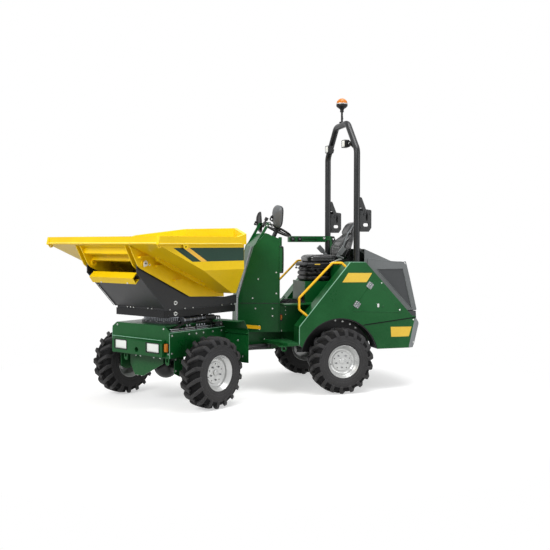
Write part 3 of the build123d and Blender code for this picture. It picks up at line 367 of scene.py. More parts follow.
def block(bm, x, y, z, mat=0):
    """Box between pairs of x, y and z."""
    verts = [bm.verts.new((a, b, c)) for a in x for b in y for c in z]
    for ids in ((0, 1, 3, 2), (4, 6, 7, 5), (0, 4, 5, 1), (2, 3, 7, 6), (0, 2, 6, 4), (1, 5, 7, 3)):
        bm.faces.new([verts[i] for i in ids]).material_index = mat
    return verts


def prism(bm, points, step, mat=0):
    """Solid swept from a closed outline of 3-D points by a step."""
    low = [bm.verts.new(Vector(p)) for p in points]
    high = [bm.verts.new(v.co + Vector(step)) for v in low]
    bm.faces.new(low).material_index = mat
    bm.faces.new(high[::-1]).material_index = mat
    band(bm, low, high, mat)


def plate(bm, plane, points, low, high, mat=0):
    """Flat plate between two levels of a plane."""
    prism(bm, [plane(u, v, low) for u, v in points], plane(0, 0, high - low), mat)


def frame_at(p, normal):
    """Matrix that puts local z along a direction at a point."""
    turn = Vector(normal).to_track_quat("Z", "Y").to_matrix().to_4x4()
    return Matrix.Translation(p) @ turn


def turned(bm, profile, place, n=48, mat=0, closed=False):
    """Surface of revolution about local z, of a profile of (radius, height) pairs."""
    rings = []
    for r, h in profile:
        if r < 1e-6:
            rings.append([bm.verts.new(place @ Vector((0, 0, h)))])
        else:
            rings.append([bm.verts.new(place @ Vector((r * cos(a), r * sin(a), h))) for a in around(n)])
    pairs = list(zip(rings, rings[1:])) + ([(rings[-1], rings[0])] if closed else [])
    for a, b in pairs:
        fan(bm, a, b, n, mat)


def fan(bm, a, b, n, mat=0):
    """Faces between two rings of n vertices, of which either may be one point."""
    for k in range(n):
        j = (k + 1) % n
        unique = list(dict.fromkeys((a[k % len(a)], a[j % len(a)], b[j % len(b)], b[k % len(b)])))
        if len(unique) > 2:
            bm.faces.new(unique).material_index = mat


def rod(bm, p, q, r, n=24, mat=0):
    """Round bar between two points, with chamfered ends."""
    length = (Vector(q) - Vector(p)).length
    c = min(r * 0.12, length * 0.2)
    turned(bm, ((0, 0), (r - c, 0), (r, c), (r, length - c), (r - c, length), (0, length)),
           frame_at(p, Vector(q) - Vector(p)), n, mat)


def bolt(bm, p, normal, size=9.0, washer=True, mat=0):
    """Hexagon head on a washer; size is the radius of the head."""
    place = frame_at(p, normal)
    if washer:
        turned(bm, ((0, 0), (size * 1.35, 0), (size * 1.35, size * 0.2), (size, size * 0.24)), place, 16, mat)
    h = size * 0.24
    turned(bm, ((size, h), (size, h + size * 0.5), (size * 0.86, h + size * 0.64), (0, h + size * 0.64)), place, 6, mat)


def pipe(bm, points, r, n=10, mat=0, cuts=6):
    """Bent tube on a smooth line through the points."""
    pts = [Vector(p) for p in points]
    line = []
    for i in range(len(pts) - 1):
        a, b, c, d = pts[max(i - 1, 0)], pts[i], pts[i + 1], pts[min(i + 2, len(pts) - 1)]
        for k in range(cuts):
            t = k / cuts
            line.append(0.5 * ((2 * b) + (c - a) * t + (2 * a - 5 * b + 4 * c - d) * t * t
                               + (3 * b - a - 3 * c + d) * t ** 3))
    line.append(pts[-1])
    side_axis, rings = None, []
    for i, p in enumerate(line):
        along = (line[min(i + 1, len(line) - 1)] - line[max(i - 1, 0)]).normalized()
        if side_axis is None:
            side_axis = along.orthogonal().normalized()
        side_axis = (side_axis - along * side_axis.dot(along)).normalized()
        other = along.cross(side_axis)
        rings.append([bm.verts.new(p + r * (cos(a) * side_axis + sin(a) * other)) for a in around(n)])
    for a, b in zip(rings, rings[1:]):
        band(bm, a, b, mat)
    bm.faces.new(rings[0][::-1]).material_index = mat
    bm.faces.new(rings[-1]).material_index = mat


def bead(bm, corners, y, r, n, mat):
    """Thin bead along the edges of a closed outline on a side face."""
    for (xa, za), (xb, zb) in zip(corners, corners[1:] + corners[:1]):
        pipe(bm, ((xa, y, za), ((xa + xb) / 2, y, (za + zb) / 2), (xb, y, zb)), r, n, mat, 2)


def rounded(x, y, w, h, r, n=5):
    """Outline of a rectangle with round corners about its middle."""
    corners = ((w / 2 - r, h / 2 - r, 0), (r - w / 2, h / 2 - r, 90), (r - w / 2, r - h / 2, 180),
               (w / 2 - r, r - h / 2, 270))
    return [(x + cx + r * cos(radians(a + 90 * k / n)), y + cy + r * sin(radians(a + 90 * k / n)))
            for cx, cy, a in corners for k in range(n + 1)]


def drawn_in(points, share):
    """An outline shrunk towards its middle."""
    mx, my = (sum(c) / len(points) for c in zip(*points))
    return [(mx + (x - mx) * share, my + (y - my) * share) for x, y in points]


def shell(bm, plane, levels, mat=0, foot=True, head=True):
    """Skin through stacked outlines, each given with its level, and closed at its foot and head."""
    rings = [[bm.verts.new(plane(u, v, w)) for u, v in points] for points, w in levels]
    for a, b in zip(rings, rings[1:]):
        band(bm, a, b, mat)
    if foot:
        bm.faces.new(rings[0][::-1]).material_index = mat
    if head:
        bm.faces.new(rings[-1]).material_index = mat


def piece(name, bm, place, body, materials, slot, smooth=32, bevel=0.0, replaces=()):
    """Turns millimetres of a half's frame into a shown piece that rides on a body."""
    bmesh.ops.recalc_face_normals(bm, faces=bm.faces)
    mesh = bpy.data.meshes.new(name)
    bm.to_mesh(mesh)
    bm.free()
    mesh.transform(place @ MM)
    for m in materials if isinstance(materials, (list, tuple)) else [materials]:
        mesh.materials.append(m)
    o = bpy.data.objects.new(name, mesh)
    scene.collection.objects.link(o)
    mesh.polygons.foreach_set("use_smooth", [True] * len(mesh.polygons))
    mesh.set_sharp_from_angle(angle=radians(smooth))
    if bevel:
        edges = o.modifiers.new("edges", "BEVEL")
        edges.width = bevel / 1000
        edges.segments = 2
        edges.limit_method = "ANGLE"
        edges.angle_limit = radians(35)
        edges.harden_normals = True
    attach(o, body)
    if replaces:
        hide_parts(*replaces)
    return o


def on_front(name, bm, materials, slot, body="front_chassis", **more):
    return piece(name, bm, FRONT, body, materials, slot, **more)


def on_rear(name, bm, materials, slot, body="rear_chassis", **more):
    return piece(name, bm, REAR, body, materials, slot, **more)


# Tyres: round carcass with moulded rings, and slanted lugs that wrap each shoulder
WHEEL_HEIGHT, TRACK_HALF = 382.5, 701
FRONT_AXLE_X, REAR_AXLE_X = 913, -1259
BEAD_R, BEAD_Y = 189.4, 119
CROWN_R = 347
TREAD_EDGE_R = 302
LUGS, LUG_PITCH = 18, 20
LUG_PITCH_R = 376.8  # radius at which a lug's slant and width are measured
SHOULDER_Y, LUG_ROOT_IN = 100, 14  # beyond the shoulder, a lug's foot is sunk into the side wall
FACETS = 108


def tyre_mesh():
    bm = bmesh.new()
    half = [(BEAD_R, BEAD_Y), (193, 125), (205, 128), (212, 128), (214, 130), (219, 130), (221, 128.5), (238, 129.5),
            (240, 131), (245, 131), (247, 129.5), (262, 130), (282, 128), (TREAD_EDGE_R, 123), (322, 116), (336, 107),
            (343, 96), (345.5, 80), (346.5, 50), (CROWN_R, 20)]
    place = Matrix.Rotation(pi / 2, 4, "X")
    tread_from = [r for r, y in half].index(TREAD_EDGE_R)
    # Material 1, the tread floor between the lugs, is near-black that paints the shade of the grooves
    for side in SIDES:
        turned(bm, [(r, side * y) for r, y in half[:tread_from + 1]], place, FACETS, 0)
        turned(bm, [(r, side * y) for r, y in half[tread_from:]], place, FACETS, 1)
    turned(bm, ((CROWN_R, -20), (CROWN_R, 20)), place, FACETS, 1)
    turned(bm, ((BEAD_R, -BEAD_Y), (BEAD_R, BEAD_Y)), place, FACETS, 0)
    bmesh.ops.remove_doubles(bm, verts=bm.verts, dist=0.01)
    # A lug's sections from the middle of the tread out to the side wall: y, and the radius of its top and foot
    sections = ((-8, 382.0, 347), (18, 382.0, 347), (44, 381.0, 346), (70, 380.0, 345), (94, 378.0, 340),
                (106, 372.0, 333), (116, 358.0, 324), (124, 338.0, 312), (130, 316.0, 300), (133, 296.0, 289))
    for hand in SIDES:
        for k in range(LUGS):
            angle = radians(LUG_PITCH * k + (0 if hand == 1 else LUG_PITCH / 2))
            rings = []
            for y, top, foot in sections:
                t = (y + 8) / 139
                middle, w = 45 - 84 * t ** 0.92, 20 + 3 * t
                ring = []
                for x, r in ((-w - 6, foot - 3), (-w, top - 6), (-w + 5, top), (w - 5, top), (w, top - 6),
                             (w + 6, foot - 3)):
                    phi = angle + (middle + x) / LUG_PITCH_R
                    inset = LUG_ROOT_IN if r < foot and y > SHOULDER_Y else 0
                    ring.append(bm.verts.new((r * sin(phi), hand * (y - inset), r * cos(phi))))
                rings.append(ring)
            for a, b in zip(rings, rings[1:]):
                for j in range(5):
                    bm.faces.new((a[j], a[j + 1], b[j + 1], b[j]))
            bm.faces.new(rings[0])
            bm.faces.new(rings[-1][::-1])
    return bm


# Rims: dished disc with a hub, five nuts, five small holes drawn as black discs that paint their shade, hub screws and
# an air valve
DISC_FACE, HUB_FACE = 52, 72
NUT_CIRCLE, HOLE_CIRCLE, SCREW_CIRCLE = 74, 96, 20


def rim_mesh(hand):
    """Wheel rim about local y, its disc facing hand * y."""
    bm = bmesh.new()
    place = Matrix.Rotation(-pi / 2 * hand, 4, "X")
    out = place.to_3x3() @ Vector((0, 0, 1))
    outer = ((40, 54), (112, DISC_FACE), (118, 48), (121, 40), (126, 40), (142, 44), (150, 52), (152, 62), (152, 74),
             (158, 84), (168, 92), (174, 104), (180, 110), (183, 116), (186.5, 120), (189, 119.5))
    inner = ((189, -119.5), (186, -120), (182, -116), (179, -108), (168, -98), (152, -80), (150, 20), (148, 36),
             (118, 36), (60, 36), (60, 12), (24.1, 12))
    turned(bm, outer + inner, place, 72)
    turned(bm, ((0, HUB_FACE), (24, HUB_FACE), (30, 70), (34, 66), (36, 54), (44, 54), (48, 53)), place, 40)

    def spot(circle, angle, height):
        return frame_at(place @ Vector((circle * cos(angle), circle * sin(angle), height)), out)

    for a in around(5):
        nut = spot(NUT_CIRCLE, a + 0.3, DISC_FACE)
        turned(bm, ((0, 2), (15, 2), (17, 0.5), (17, -1)), nut, 20, 0)
        turned(bm, ((0, 18), (7, 18), (10, 15), (10, 2), (12, 0)), nut, 6, 1)
        # A thin black disc paints the shade of each small hole
        turned(bm, ((0, 0.6), (7, 0.6), (8, 0)), spot(HOLE_CIRCLE, a + 0.93, DISC_FACE), 20, 2)
    for a in around(8):
        turned(bm, ((0, 3), (2.4, 3), (3, 0)), spot(SCREW_CIRCLE, a, HUB_FACE), 6, 1)
    rod(bm, place @ Vector((146, 30, 46)), place @ Vector((140, 26, 86)), 5, 12, 2)
    return bm


for half_name, half_place, axle_x in (("front", FRONT, FRONT_AXLE_X), ("rear", REAR, REAR_AXLE_X)):
    for side_name, hand in (("left", 1), ("right", -1)):
        corner = f"{half_name}_{side_name}"
        hub = half_place @ Matrix.Translation(Vector((axle_x, hand * TRACK_HALF, WHEEL_HEIGHT)) / 1000)
        piece(f"tread_{corner}", tyre_mesh(), hub, f"wheel_{corner}", [RUBBER, PAINTED_SHADE], "tyre_rubber", 28,
              replaces=(f"tyre_{corner}",))
        piece(f"wheel_rim_{corner}", rim_mesh(hand), hub, f"wheel_{corner}", [RIM, NUT, PLASTIC], "rim_paint", 30,
              replaces=(f"rim_{corner}",))

# Front half: bolted side plates and the brackets below them
SIDE_Y, BRACKET_Y = 456, 424
SIDE_FOOT, SIDE_TOP = 545, 808
bm = bmesh.new()
for hand in SIDES:
    side = span(hand, SIDE_Y, SIDE_Y + 3.5)
    plate(bm, along_y, ((1287, SIDE_FOOT), (1287, SIDE_TOP), (1058, SIDE_TOP), (1058, SIDE_FOOT)), *side)
    plate(bm, along_y, ((1053, SIDE_FOOT), (1053, SIDE_TOP), (436, SIDE_TOP), (436, 604), (702, SIDE_FOOT)), *side)
    plate(bm, along_y, ((1196, 541), (1196, 372), (1127, 335), (1062, 335), (1062, 541)),
          *span(hand, BRACKET_Y, BRACKET_Y + 10))
on_front("side_plates", bm, GREEN, "green_paint", bevel=1.5)

# Bolts of the side plates, mudguards, nose, belly and slewing ring
RING_X, RING_BOLT_R, RING_BOLT_Z = 810, 329, 898
bm = bmesh.new()
for hand in SIDES:
    for x, z in ((1254, 781), (1006, 775), (897, 775), (788, 775), (1259, 595), (640, 775), (500, 775), (470, 640)):
        bolt(bm, (x, hand * 459.5, z), (0, hand, 0), 8)
    bolt(bm, (1182, hand * 434, 523), (0, hand, 0), 8)
    bolt(bm, (1180, hand * 434, 400), (0, hand, 0), 8)
    bolt(bm, (430, hand * 650, 671), (-1, 0, 0), 9)
    bolt(bm, (436, hand * 650, 671), (1, 0, 0), 9)
    for y in (520, 720):
        bolt(bm, (436, hand * y, 500), (1, 0, 0), 8)
    for y, z in ((437, 590), (370, 850)):
        bolt(bm, (1290, hand * y, z), (1, 0, 0), 8)
for x, y in ((1190, -90), (1190, -160), (1150, -90), (1150, -160)):
    bolt(bm, (x, y, 302), (0, 0, -1), 8)
for y in (-170, -95, 120, 220):
    bolt(bm, (1200, y, 520), (1, 0, 0), 8)
for a in around(24):
    bolt(bm, (RING_X + RING_BOLT_R * cos(a), RING_BOLT_R * sin(a), RING_BOLT_Z), (0, 0, 1), 7.5)
on_front("front_bolts", bm, ZINC, "bare_steel")

# Lamps: fluted lenses in black bezels, and the amber indicator
LAMP_Y, LAMP_Z, LAMP_X = 255, 648, 1330
LENS_W, LENS_H, LENS_FOOT = 190, 92, 602
FLUTES, FLUTE_DEPTH, LENS_BULGE = 12, 1.6, 7
COLUMNS, ROWS = 48, 12
bm = bmesh.new()
for y in (LAMP_Y, -LAMP_Y):
    outer, inner = rounded(y, LAMP_Z, 206, 108, 6), rounded(y, LAMP_Z, LENS_W, LENS_H, 10)
    shell(bm, along_x, [(outer, LAMP_X), (outer, 1347), (drawn_in(outer, 0.97), 1350), (drawn_in(inner, 1.03), 1349),
                        (inner, 1344), (inner, LAMP_X)], foot=False, head=False)
    for end in SIDES:
        bolt(bm, (1350, y - end * 97.5, LAMP_Z + end * 48.64), (1, 0, 0), 3, False)
on_front("lamp_bezels", bm, PLASTIC, "black_plastic", bevel=0.8)
bm = bmesh.new()
for y in (LAMP_Y, -LAMP_Y):
    grid = []
    for i in range(COLUMNS + 1):
        u = i / COLUMNS
        flute = FLUTE_DEPTH * abs(sin(pi * u * FLUTES))
        column = []
        for j in range(ROWS + 1):
            v = j / ROWS
            bulge = LENS_BULGE * (1 - (2 * u - 1) ** 4) * (1 - (2 * v - 1) ** 4)
            x = 1336 + bulge + flute * min(1, 8 * v, 8 * (1 - v))
            column.append(bm.verts.new((x, y - LENS_W / 2 + LENS_W * u, LENS_FOOT + LENS_H * v)))
        grid.append(column)
    for i in range(COLUMNS):
        for j in range(ROWS):
            bm.faces.new((grid[i][j], grid[i + 1][j], grid[i + 1][j + 1], grid[i][j + 1]))
    edge = ([grid[i][0] for i in range(COLUMNS + 1)] + [grid[COLUMNS][j] for j in range(1, ROWS + 1)]
            + [grid[i][ROWS] for i in range(COLUMNS - 1, -1, -1)] + [grid[0][j] for j in range(ROWS - 1, 0, -1)])
    back = [bm.verts.new((1294, v.co.y, v.co.z)) for v in edge]
    band(bm, edge, back)
    bm.faces.new(back)
on_front("lamp_lenses", bm, LENS, "lamp_lens", smooth=50, replaces=("front_lamps",))
bm = bmesh.new()
base = rounded(427, 657, 46, 96, 8)
shell(bm, along_x, [(base, 1290.5), (base, 1300)], 1)
lens = rounded(427, 657, 38, 86, 9)
shell(bm, along_x, [(lens, 1300), (lens, 1318), (rounded(427, 657, 32, 80, 9), 1325),
                    (rounded(427, 657, 20, 68, 8), 1328)])
for k in range(7):
    block(bm, (1318, 1326), (410, 444), (620 + 12 * k, 623 + 12 * k))
on_front("front_indicator", bm, [AMBER, PLASTIC], "lamp_lens", bevel=0.6)

# Slewing ring: teeth and the race above them
TEETH, TOOTH_ROOT, TOOTH_TIP = 90, 305, 318
bm = bmesh.new()
for a in around(TEETH):
    c, s = cos(a), sin(a)
    corners = ((TOOTH_ROOT, -6), (TOOTH_TIP, -3), (TOOTH_TIP, 3), (TOOTH_ROOT, 6))
    plate(bm, along_z, [(RING_X + r * c - t * s, r * s + t * c) for r, t in corners], 902, 934)
turned(bm, ((307, 936), (322, 938), (322, 948), (307, 950)), Matrix.Translation((RING_X, 0, 0)), 96, closed=True)
on_front("ring_teeth", bm, STEEL, "bare_steel")

# Slewing motor with its worm housing, valve blocks and pipes on the deck
MOTOR_Y, MOTOR_Z = 350, 918
bm = bmesh.new()
for x0, x1, r, n, mat in ((515, 655, 33, 32, 1), (640, 664, 46, 32, 1), (505, 530, 24, 24, 0)):
    rod(bm, (x0, MOTOR_Y, MOTOR_Z), (x1, MOTOR_Y, MOTOR_Z), r, n, mat)
for a in (45, 135, 225, 315):
    bolt(bm, (664, MOTOR_Y + 36 * cos(radians(a)), MOTOR_Z + 36 * sin(radians(a))), (1, 0, 0), 5.5, False)
for x in (560, 600):
    rod(bm, (x, MOTOR_Y, 945), (x, MOTOR_Y, 966), 11, 6)
for x in (650, 985):
    turned(bm, ((30, 0), (39, 2), (39, 10), (30, 12)), frame_at((x, MOTOR_Y, MOTOR_Z), (1, 0, 0)), 32, closed=True)
for k in range(4):
    turned(bm, ((36.5, 0), (37.6, 0.6), (37.6, 5.4), (36.5, 6)),
           frame_at((720 + 60 * k, MOTOR_Y, MOTOR_Z), (1, 0, 0)), 32, closed=True)
block(bm, (700, 860), (392, 432), (812, 850), 1)
block(bm, (930, 1010), (380, 430), (812, 858), 1)
for x in (720, 760, 800, 840, 950, 990):
    rod(bm, (x, 410, 848), (x, 410, 872), 9, 6)
for z, y in ((824, 442), (842, 438)):
    pipe(bm, ((1240, y - 40, z), (1200, y, z), (900, y, z), (640, y, z), (520, y - 10, z)), 6.5)
for x in (1120, 1060, 880, 620):
    block(bm, (x, x + 16), (428, 450), (813, 852), 1)
on_front("slew_motor", bm, [STEEL, PLASTIC], "bare_steel", bevel=1.2)

# Short fixed hoses from the motor and the valve blocks
bm = bmesh.new()
for x in (560, 600):
    y, z = MOTOR_Y, 966
    pipe(bm, ((x, y, z), (x, y, z + 4), (x - 10, y - 40, z + 2), (x - 60, y - 120, 930), (x - 90, y - 200, 900),
              (x - 95, 90, 886)), 8)
for k, x in enumerate((720, 760, 800, 840)):
    pipe(bm, ((x, 410, 870), (x, 412, 890), (x - 30, 416, 902 - 4 * k), (x - 110, 420, 880),
              (x - 180, 424 - 6 * k, 838), (500, 420 - 8 * k, 826), (452, 400 - 10 * k, 818)), 7)
for x in (950, 990):
    pipe(bm, ((x, 405, 870), (x, 405, 888), (x + 30, 400, 896), (x + 120, 396, 868), (x + 200, 380, 830)), 7)
on_front("deck_hoses", bm, PLASTIC, "black_plastic", smooth=60)

# Pipe block and fittings behind the slewing ring
bm = bmesh.new()
block(bm, (446, 520), (150, 390), (813, 868), 1)
block(bm, (452, 512), (190, 330), (868, 902), 1)
for y in (170, 205, 240, 275, 310, 345, 375):
    rod(bm, (470, y, 866), (470, y, 906), 10, 6)
    rod(bm, (498, y, 866), (498, y, 890), 9, 6)
    pipe(bm, ((470, y, 900), (466, y, 922), (446, y, 926), (424, y - 10, 900), (404, y - 30, 850)), 8, 10, 2)
rod(bm, (560, 180, 866), (640, 180, 866), 26, 28)
rod(bm, (640, 180, 866), (700, 150, 866), 20, 28, 1)
for y in (200, 240, 280, 320):
    pipe(bm, ((450, y, 850), (420, y, 850), (380, y - 6, 836), (330, y - 20, 780), (290, y - 40, 712),
              (262, y - 60, 650)), 13, 12, 2)
for y in (345, 375):
    pipe(bm, ((450, y, 846), (410, y, 852), (372, y, 846), (345, y - 8, 800), (338, y - 16, 740)), 13, 12, 2)
on_front("pipe_block", bm, [STEEL, DEEP_BLACK, PLASTIC], "bare_steel", bevel=1.5)

# Console and turntable: keeper plates with a tail over the lock pins, studs and bolts
RAIL_STUD_Z = 1049
bm = bmesh.new()
for hand in SIDES:
    for x, y, z in ((1156, 404, 1117), (1146, 393, 1002)):
        keeper = [(x - u, z + v) for u, v in arc(0, 0, 22, 22, 50, 310, 20) + [(36, 0)]]
        plate(bm, along_y, keeper, *span(hand, y, y + 7))
        rod(bm, (x, hand * (y + 6), z), (x, hand * (y + 16), z), 9, 20, 1)
        bolt(bm, (x - 24, hand * (y + 7), z), (0, hand, 0), 4, False, 1)
for y in (-211, -160, -113, 120, 180):
    rod(bm, (1270, y, 1053), (1282, y, 1053), 7, 16)
for hand in SIDES:
    for x in (260, 420, 880, 1000, 1220):
        rod(bm, (x, hand * 386, RAIL_STUD_Z), (x, hand * 396, RAIL_STUD_Z), 7, 16)
    for x in (230, 460, 900, 1240):
        bolt(bm, (x, hand * 393, 985), (0, hand, 0), 8, True, 1)
for y in (228, -190):
    bolt(bm, (1648, y, 1340), (0.79, 0, -0.61), 8)
for hand in SIDES:
    for x, z in ((1554, 1400), (1464, 1290), (1374, 1175)):
        bolt(bm, (x, hand * 366, z), (0.71, 0, -0.7), 6, False, 1)
on_front("table_pins", bm, [ZINC, BLACK], "bare_steel", "turntable", bevel=0.8)
bm = bmesh.new()
for hand in SIDES:
    cheek = span(hand, 404, 407)
    plate(bm, along_y, ((1304, 1064), (1312, 1064), (1676, 1440), (1668, 1448)), *cheek)
    plate(bm, along_y, rounded(250, 1100, 60, 36, 10), *cheek)
for x in (240, 1190):
    for y in (-300, 300):
        rod(bm, (x, y, 1039), (x, y, 1049), 32, 32)
on_front("console_edges", bm, CONSOLE, "black_paint", "turntable", bevel=1)

# Skip: blank side stripes that run on over the chamfered rear corner
SKIP_SIDE_Y, STRIPE_FOOT, STRIPE_TOP, STRIPE_T = 867, 1561, 1700, 0.6
bm = bmesh.new()
for hand in SIDES:
    side = span(hand, SKIP_SIDE_Y, SKIP_SIDE_Y + STRIPE_T)
    for (head0, head1), (foot0, foot1), mat in (((1618, 1487), (1234, 1357), 0), ((1487, 1401), (1147, 1234), 1),
                                                ((1401, 583), (583, 1147), 0)):
        plate(bm, along_y, ((head0, STRIPE_TOP), (head1, STRIPE_TOP), (foot0, STRIPE_FOOT), (foot1, STRIPE_FOOT)),
              *side, mat)
    rear_corner, rear_end = Vector((580, SKIP_SIDE_Y, 0)), Vector((200, 385, 0))
    outward = Vector((SKIP_SIDE_Y - 385, -380, 0)).normalized() * -STRIPE_T
    near, far = rear_corner.lerp(rear_end, 0.012), rear_corner.lerp(rear_end, 0.16)
    corners = [Vector((p.x, hand * p.y, z)) for p, z in
               ((near, STRIPE_FOOT), (far, STRIPE_FOOT), (far, STRIPE_TOP), (near, STRIPE_TOP))]
    prism(bm, corners, (outward.x, hand * outward.y, 0))
on_front("skip_stripes", bm, [DECAL_DARK, DECAL_PALE], "black_paint", "skip")

# Skip: pin caps with keeper plates, weld lines, lugs under the rim, inner bosses, and pale strips that paint the
# highlight along the lip and the side bands
TIP_PIN_X, TIP_PIN_Z = 1614, 1543
FLOOR_SLOPE = 0.4255
bm = bmesh.new()
for hand in SIDES:
    rod(bm, (TIP_PIN_X, hand * 457, TIP_PIN_Z), (TIP_PIN_X, hand * 467, TIP_PIN_Z), 24, 32)
    rod(bm, (TIP_PIN_X, hand * 466, TIP_PIN_Z), (TIP_PIN_X, hand * 471, TIP_PIN_Z), 9, 20, 1)
    keeper = arc(TIP_PIN_X, TIP_PIN_Z, 30, 30, 0, 270, 30) + [(1642, 1510)]
    plate(bm, along_y, keeper, *span(hand, 463, 466))
    bolt(bm, (1562, hand * 463, 1529), (0, hand, 0), 7)
on_front("skip_pin_caps", bm, [ZINC, BLACK], "bare_steel", "skip", bevel=1)
bm = bmesh.new()
pipe(bm, [(1821, y, 1742) for y in (-862, -400, 0, 400, 862)], 8.5, 12, 0, 2)
for hand in SIDES:
    pipe(bm, [(x, hand * 890, 1734) for x in (1826, 1500, 1100, 620)], 4.5, 8, 0, 2)
    for x0, x1, y in ((1790, 1660, 435), (1790, 1450, 435), (1790, 1450, 364)):
        xs = [x0 + (x1 - x0) * t / 6 for t in range(7)]
        pipe(bm, [(x, hand * (y + 3), 1730 - (1818 - x) * FLOOR_SLOPE) for x in xs], 4, 8, 0, 2)
on_front("skip_welds", bm, YELLOW, "yellow_paint", "skip", smooth=60)
bm = bmesh.new()
for hand in SIDES:
    lug = arc(1474, 1716, 34, 30, 180, 360, 20) + [(1508, 1738), (1440, 1738)]
    plate(bm, along_y, lug, *span(hand, 889, 893))
    # A thin near-black disc paints the shade of the lug's hole
    turned(bm, ((0, 0.6), (9, 0.6), (9, 0)), frame_at((1474, hand * 893, 1710), (0, hand, 0)), 24, 1)
    turned(bm, ((0, 7), (15, 7), (17, 5), (17, 3), (27, 3), (29, 0)),
           frame_at((TIP_PIN_X, hand * 363, TIP_PIN_Z), (0, -hand, 0)), 32, 2)
on_front("skip_lugs", bm, [YELLOW, PAINTED_SHADE, NUT], "yellow_paint", "skip", bevel=0.8)
# Pale strips that paint the highlight along the lip's front edge and the side bands' top edges
bm = bmesh.new()
pipe(bm, [(1828, y, 1748) for y in (-868, -400, 0, 400, 868)], 4, 8, 0, 2)
for hand in SIDES:
    pipe(bm, [(x, hand * 892, 1742) for x in (1820, 1500, 1100, 640)], 3, 8, 0, 2)
on_front("skip_lip_highlight", bm, YELLOW_HIGHLIGHT, "yellow_paint", "skip", smooth=60)
# Front half: pale strips that paint the highlights along the lamp box's top edge and the side plates' top and front
# edges
bm = bmesh.new()
pipe(bm, [(1342.5, y, 735) for y in (-398, 0, 398)], 3.5, 8, 0, 2)
for hand in SIDES:
    pipe(bm, [(x, hand * 457, 812) for x in (1288, 1058, 436)], 4, 8, 0, 2)
    pipe(bm, [(1289, hand * 457, z) for z in (806, 680, 548)], 3, 8, 0, 2)
on_front("front_edge_highlights", bm, GREEN_HIGHLIGHT, "green_paint", smooth=60)

# Rear half: the console tower is a wedge whose slanted sides start at the nose
NOSE_X, NOSE_HALF, TOWER_FLARE = -165, 140, 170 / 475
TOWER_SIDE_Y = 310
ARCH_R, POD_IN_Y, POD_Y, TAIL_Y, HATCH_Y = 478, 490, 690, 683, 694.5


def tower_side(x, z, hand, out=0.0):
    """Point on the slanted side of the tower."""
    return Vector((x, hand * (NOSE_HALF + (NOSE_X - x) * TOWER_FLARE + out * 0.94), z))


# Bolts of the tower, arch liners, pods, tail and counterweight
bm = bmesh.new()
slant = Vector((TOWER_FLARE, 1, 0)).normalized()
for hand in SIDES:
    for x, z in ((-397, 1320), (-335, 1092), (-366, 969), (-557, 970), (-557, 881), (-240, 760), (-600, 1400),
                 (-600, 1150)):
        bolt(bm, tower_side(x, z, hand), (slant.x, hand * slant.y, 0), 6.5)
    for x, z in ((-709, 992), (-709, 948), (-709, 900), (-659, 711), (-659, 700)):
        bolt(bm, (x, hand * TOWER_SIDE_Y, z), (0, hand, 0), 5.5, False)
    for a in (128, 117, 104, 92, 72, 56, 44, 32):
        x, z = arc(REAR_AXLE_X, WHEEL_HEIGHT, 446, 446, a, a, 1)[0]
        bolt(bm, (x, hand * POD_IN_Y, z), (0, hand, 0), 9)
    bolt(bm, (-2016, hand * HATCH_Y, 953), (0, hand, 0), 8)
    bolt(bm, (-1782, hand * (POD_Y + 0.5), 1277), (0, hand, 0), 6)
    for z in (560, 830):
        bolt(bm, (-2200, hand * (TAIL_Y + 0.5), z), (0, hand, 0), 7)
    for y in (430, 150):
        bolt(bm, (-2263, hand * y, 560), (-0.94, 0, -0.35), 12)
        bolt(bm, (-2343, hand * y, 850), (-1, 0, 0), 12)
    for x in (-470, -700):
        bolt(bm, (x, hand * 230, 600), (0, 0, 1), 7)
on_rear("rear_bolts", bm, ZINC, "bare_steel")

# Ribbed strip up the nose of the tower, on its slanted upper and its steeper lower face
RIB_PITCH, RIB_Y, RIB_W = 13.8, 62, 74
bm = bmesh.new()
for k in range(44):
    z = 1104 + k * RIB_PITCH
    x0, x1 = -175 - (z - 1100) * 175 / 614, -175 - (z - 1091) * 175 / 614
    prism(bm, ((x0 + 1, RIB_Y, z), (x0 + 7, RIB_Y + 4, z + 3), (x1 + 7, RIB_Y + 4, z + 7), (x1 + 1, RIB_Y, z + 9)),
          (0, RIB_W, 0))
for k in range(28):
    z = 706 + k * RIB_PITCH
    x = -166 - (z - 690) * 10 / 410
    prism(bm, ((x + 1, RIB_Y, z), (x + 7, RIB_Y + 4, z + 3), (x + 7, RIB_Y + 4, z + 7), (x + 1, RIB_Y, z + 9)),
          (0, RIB_W, 0))
on_rear("nose_ribs", bm, STEEL, "bare_steel")

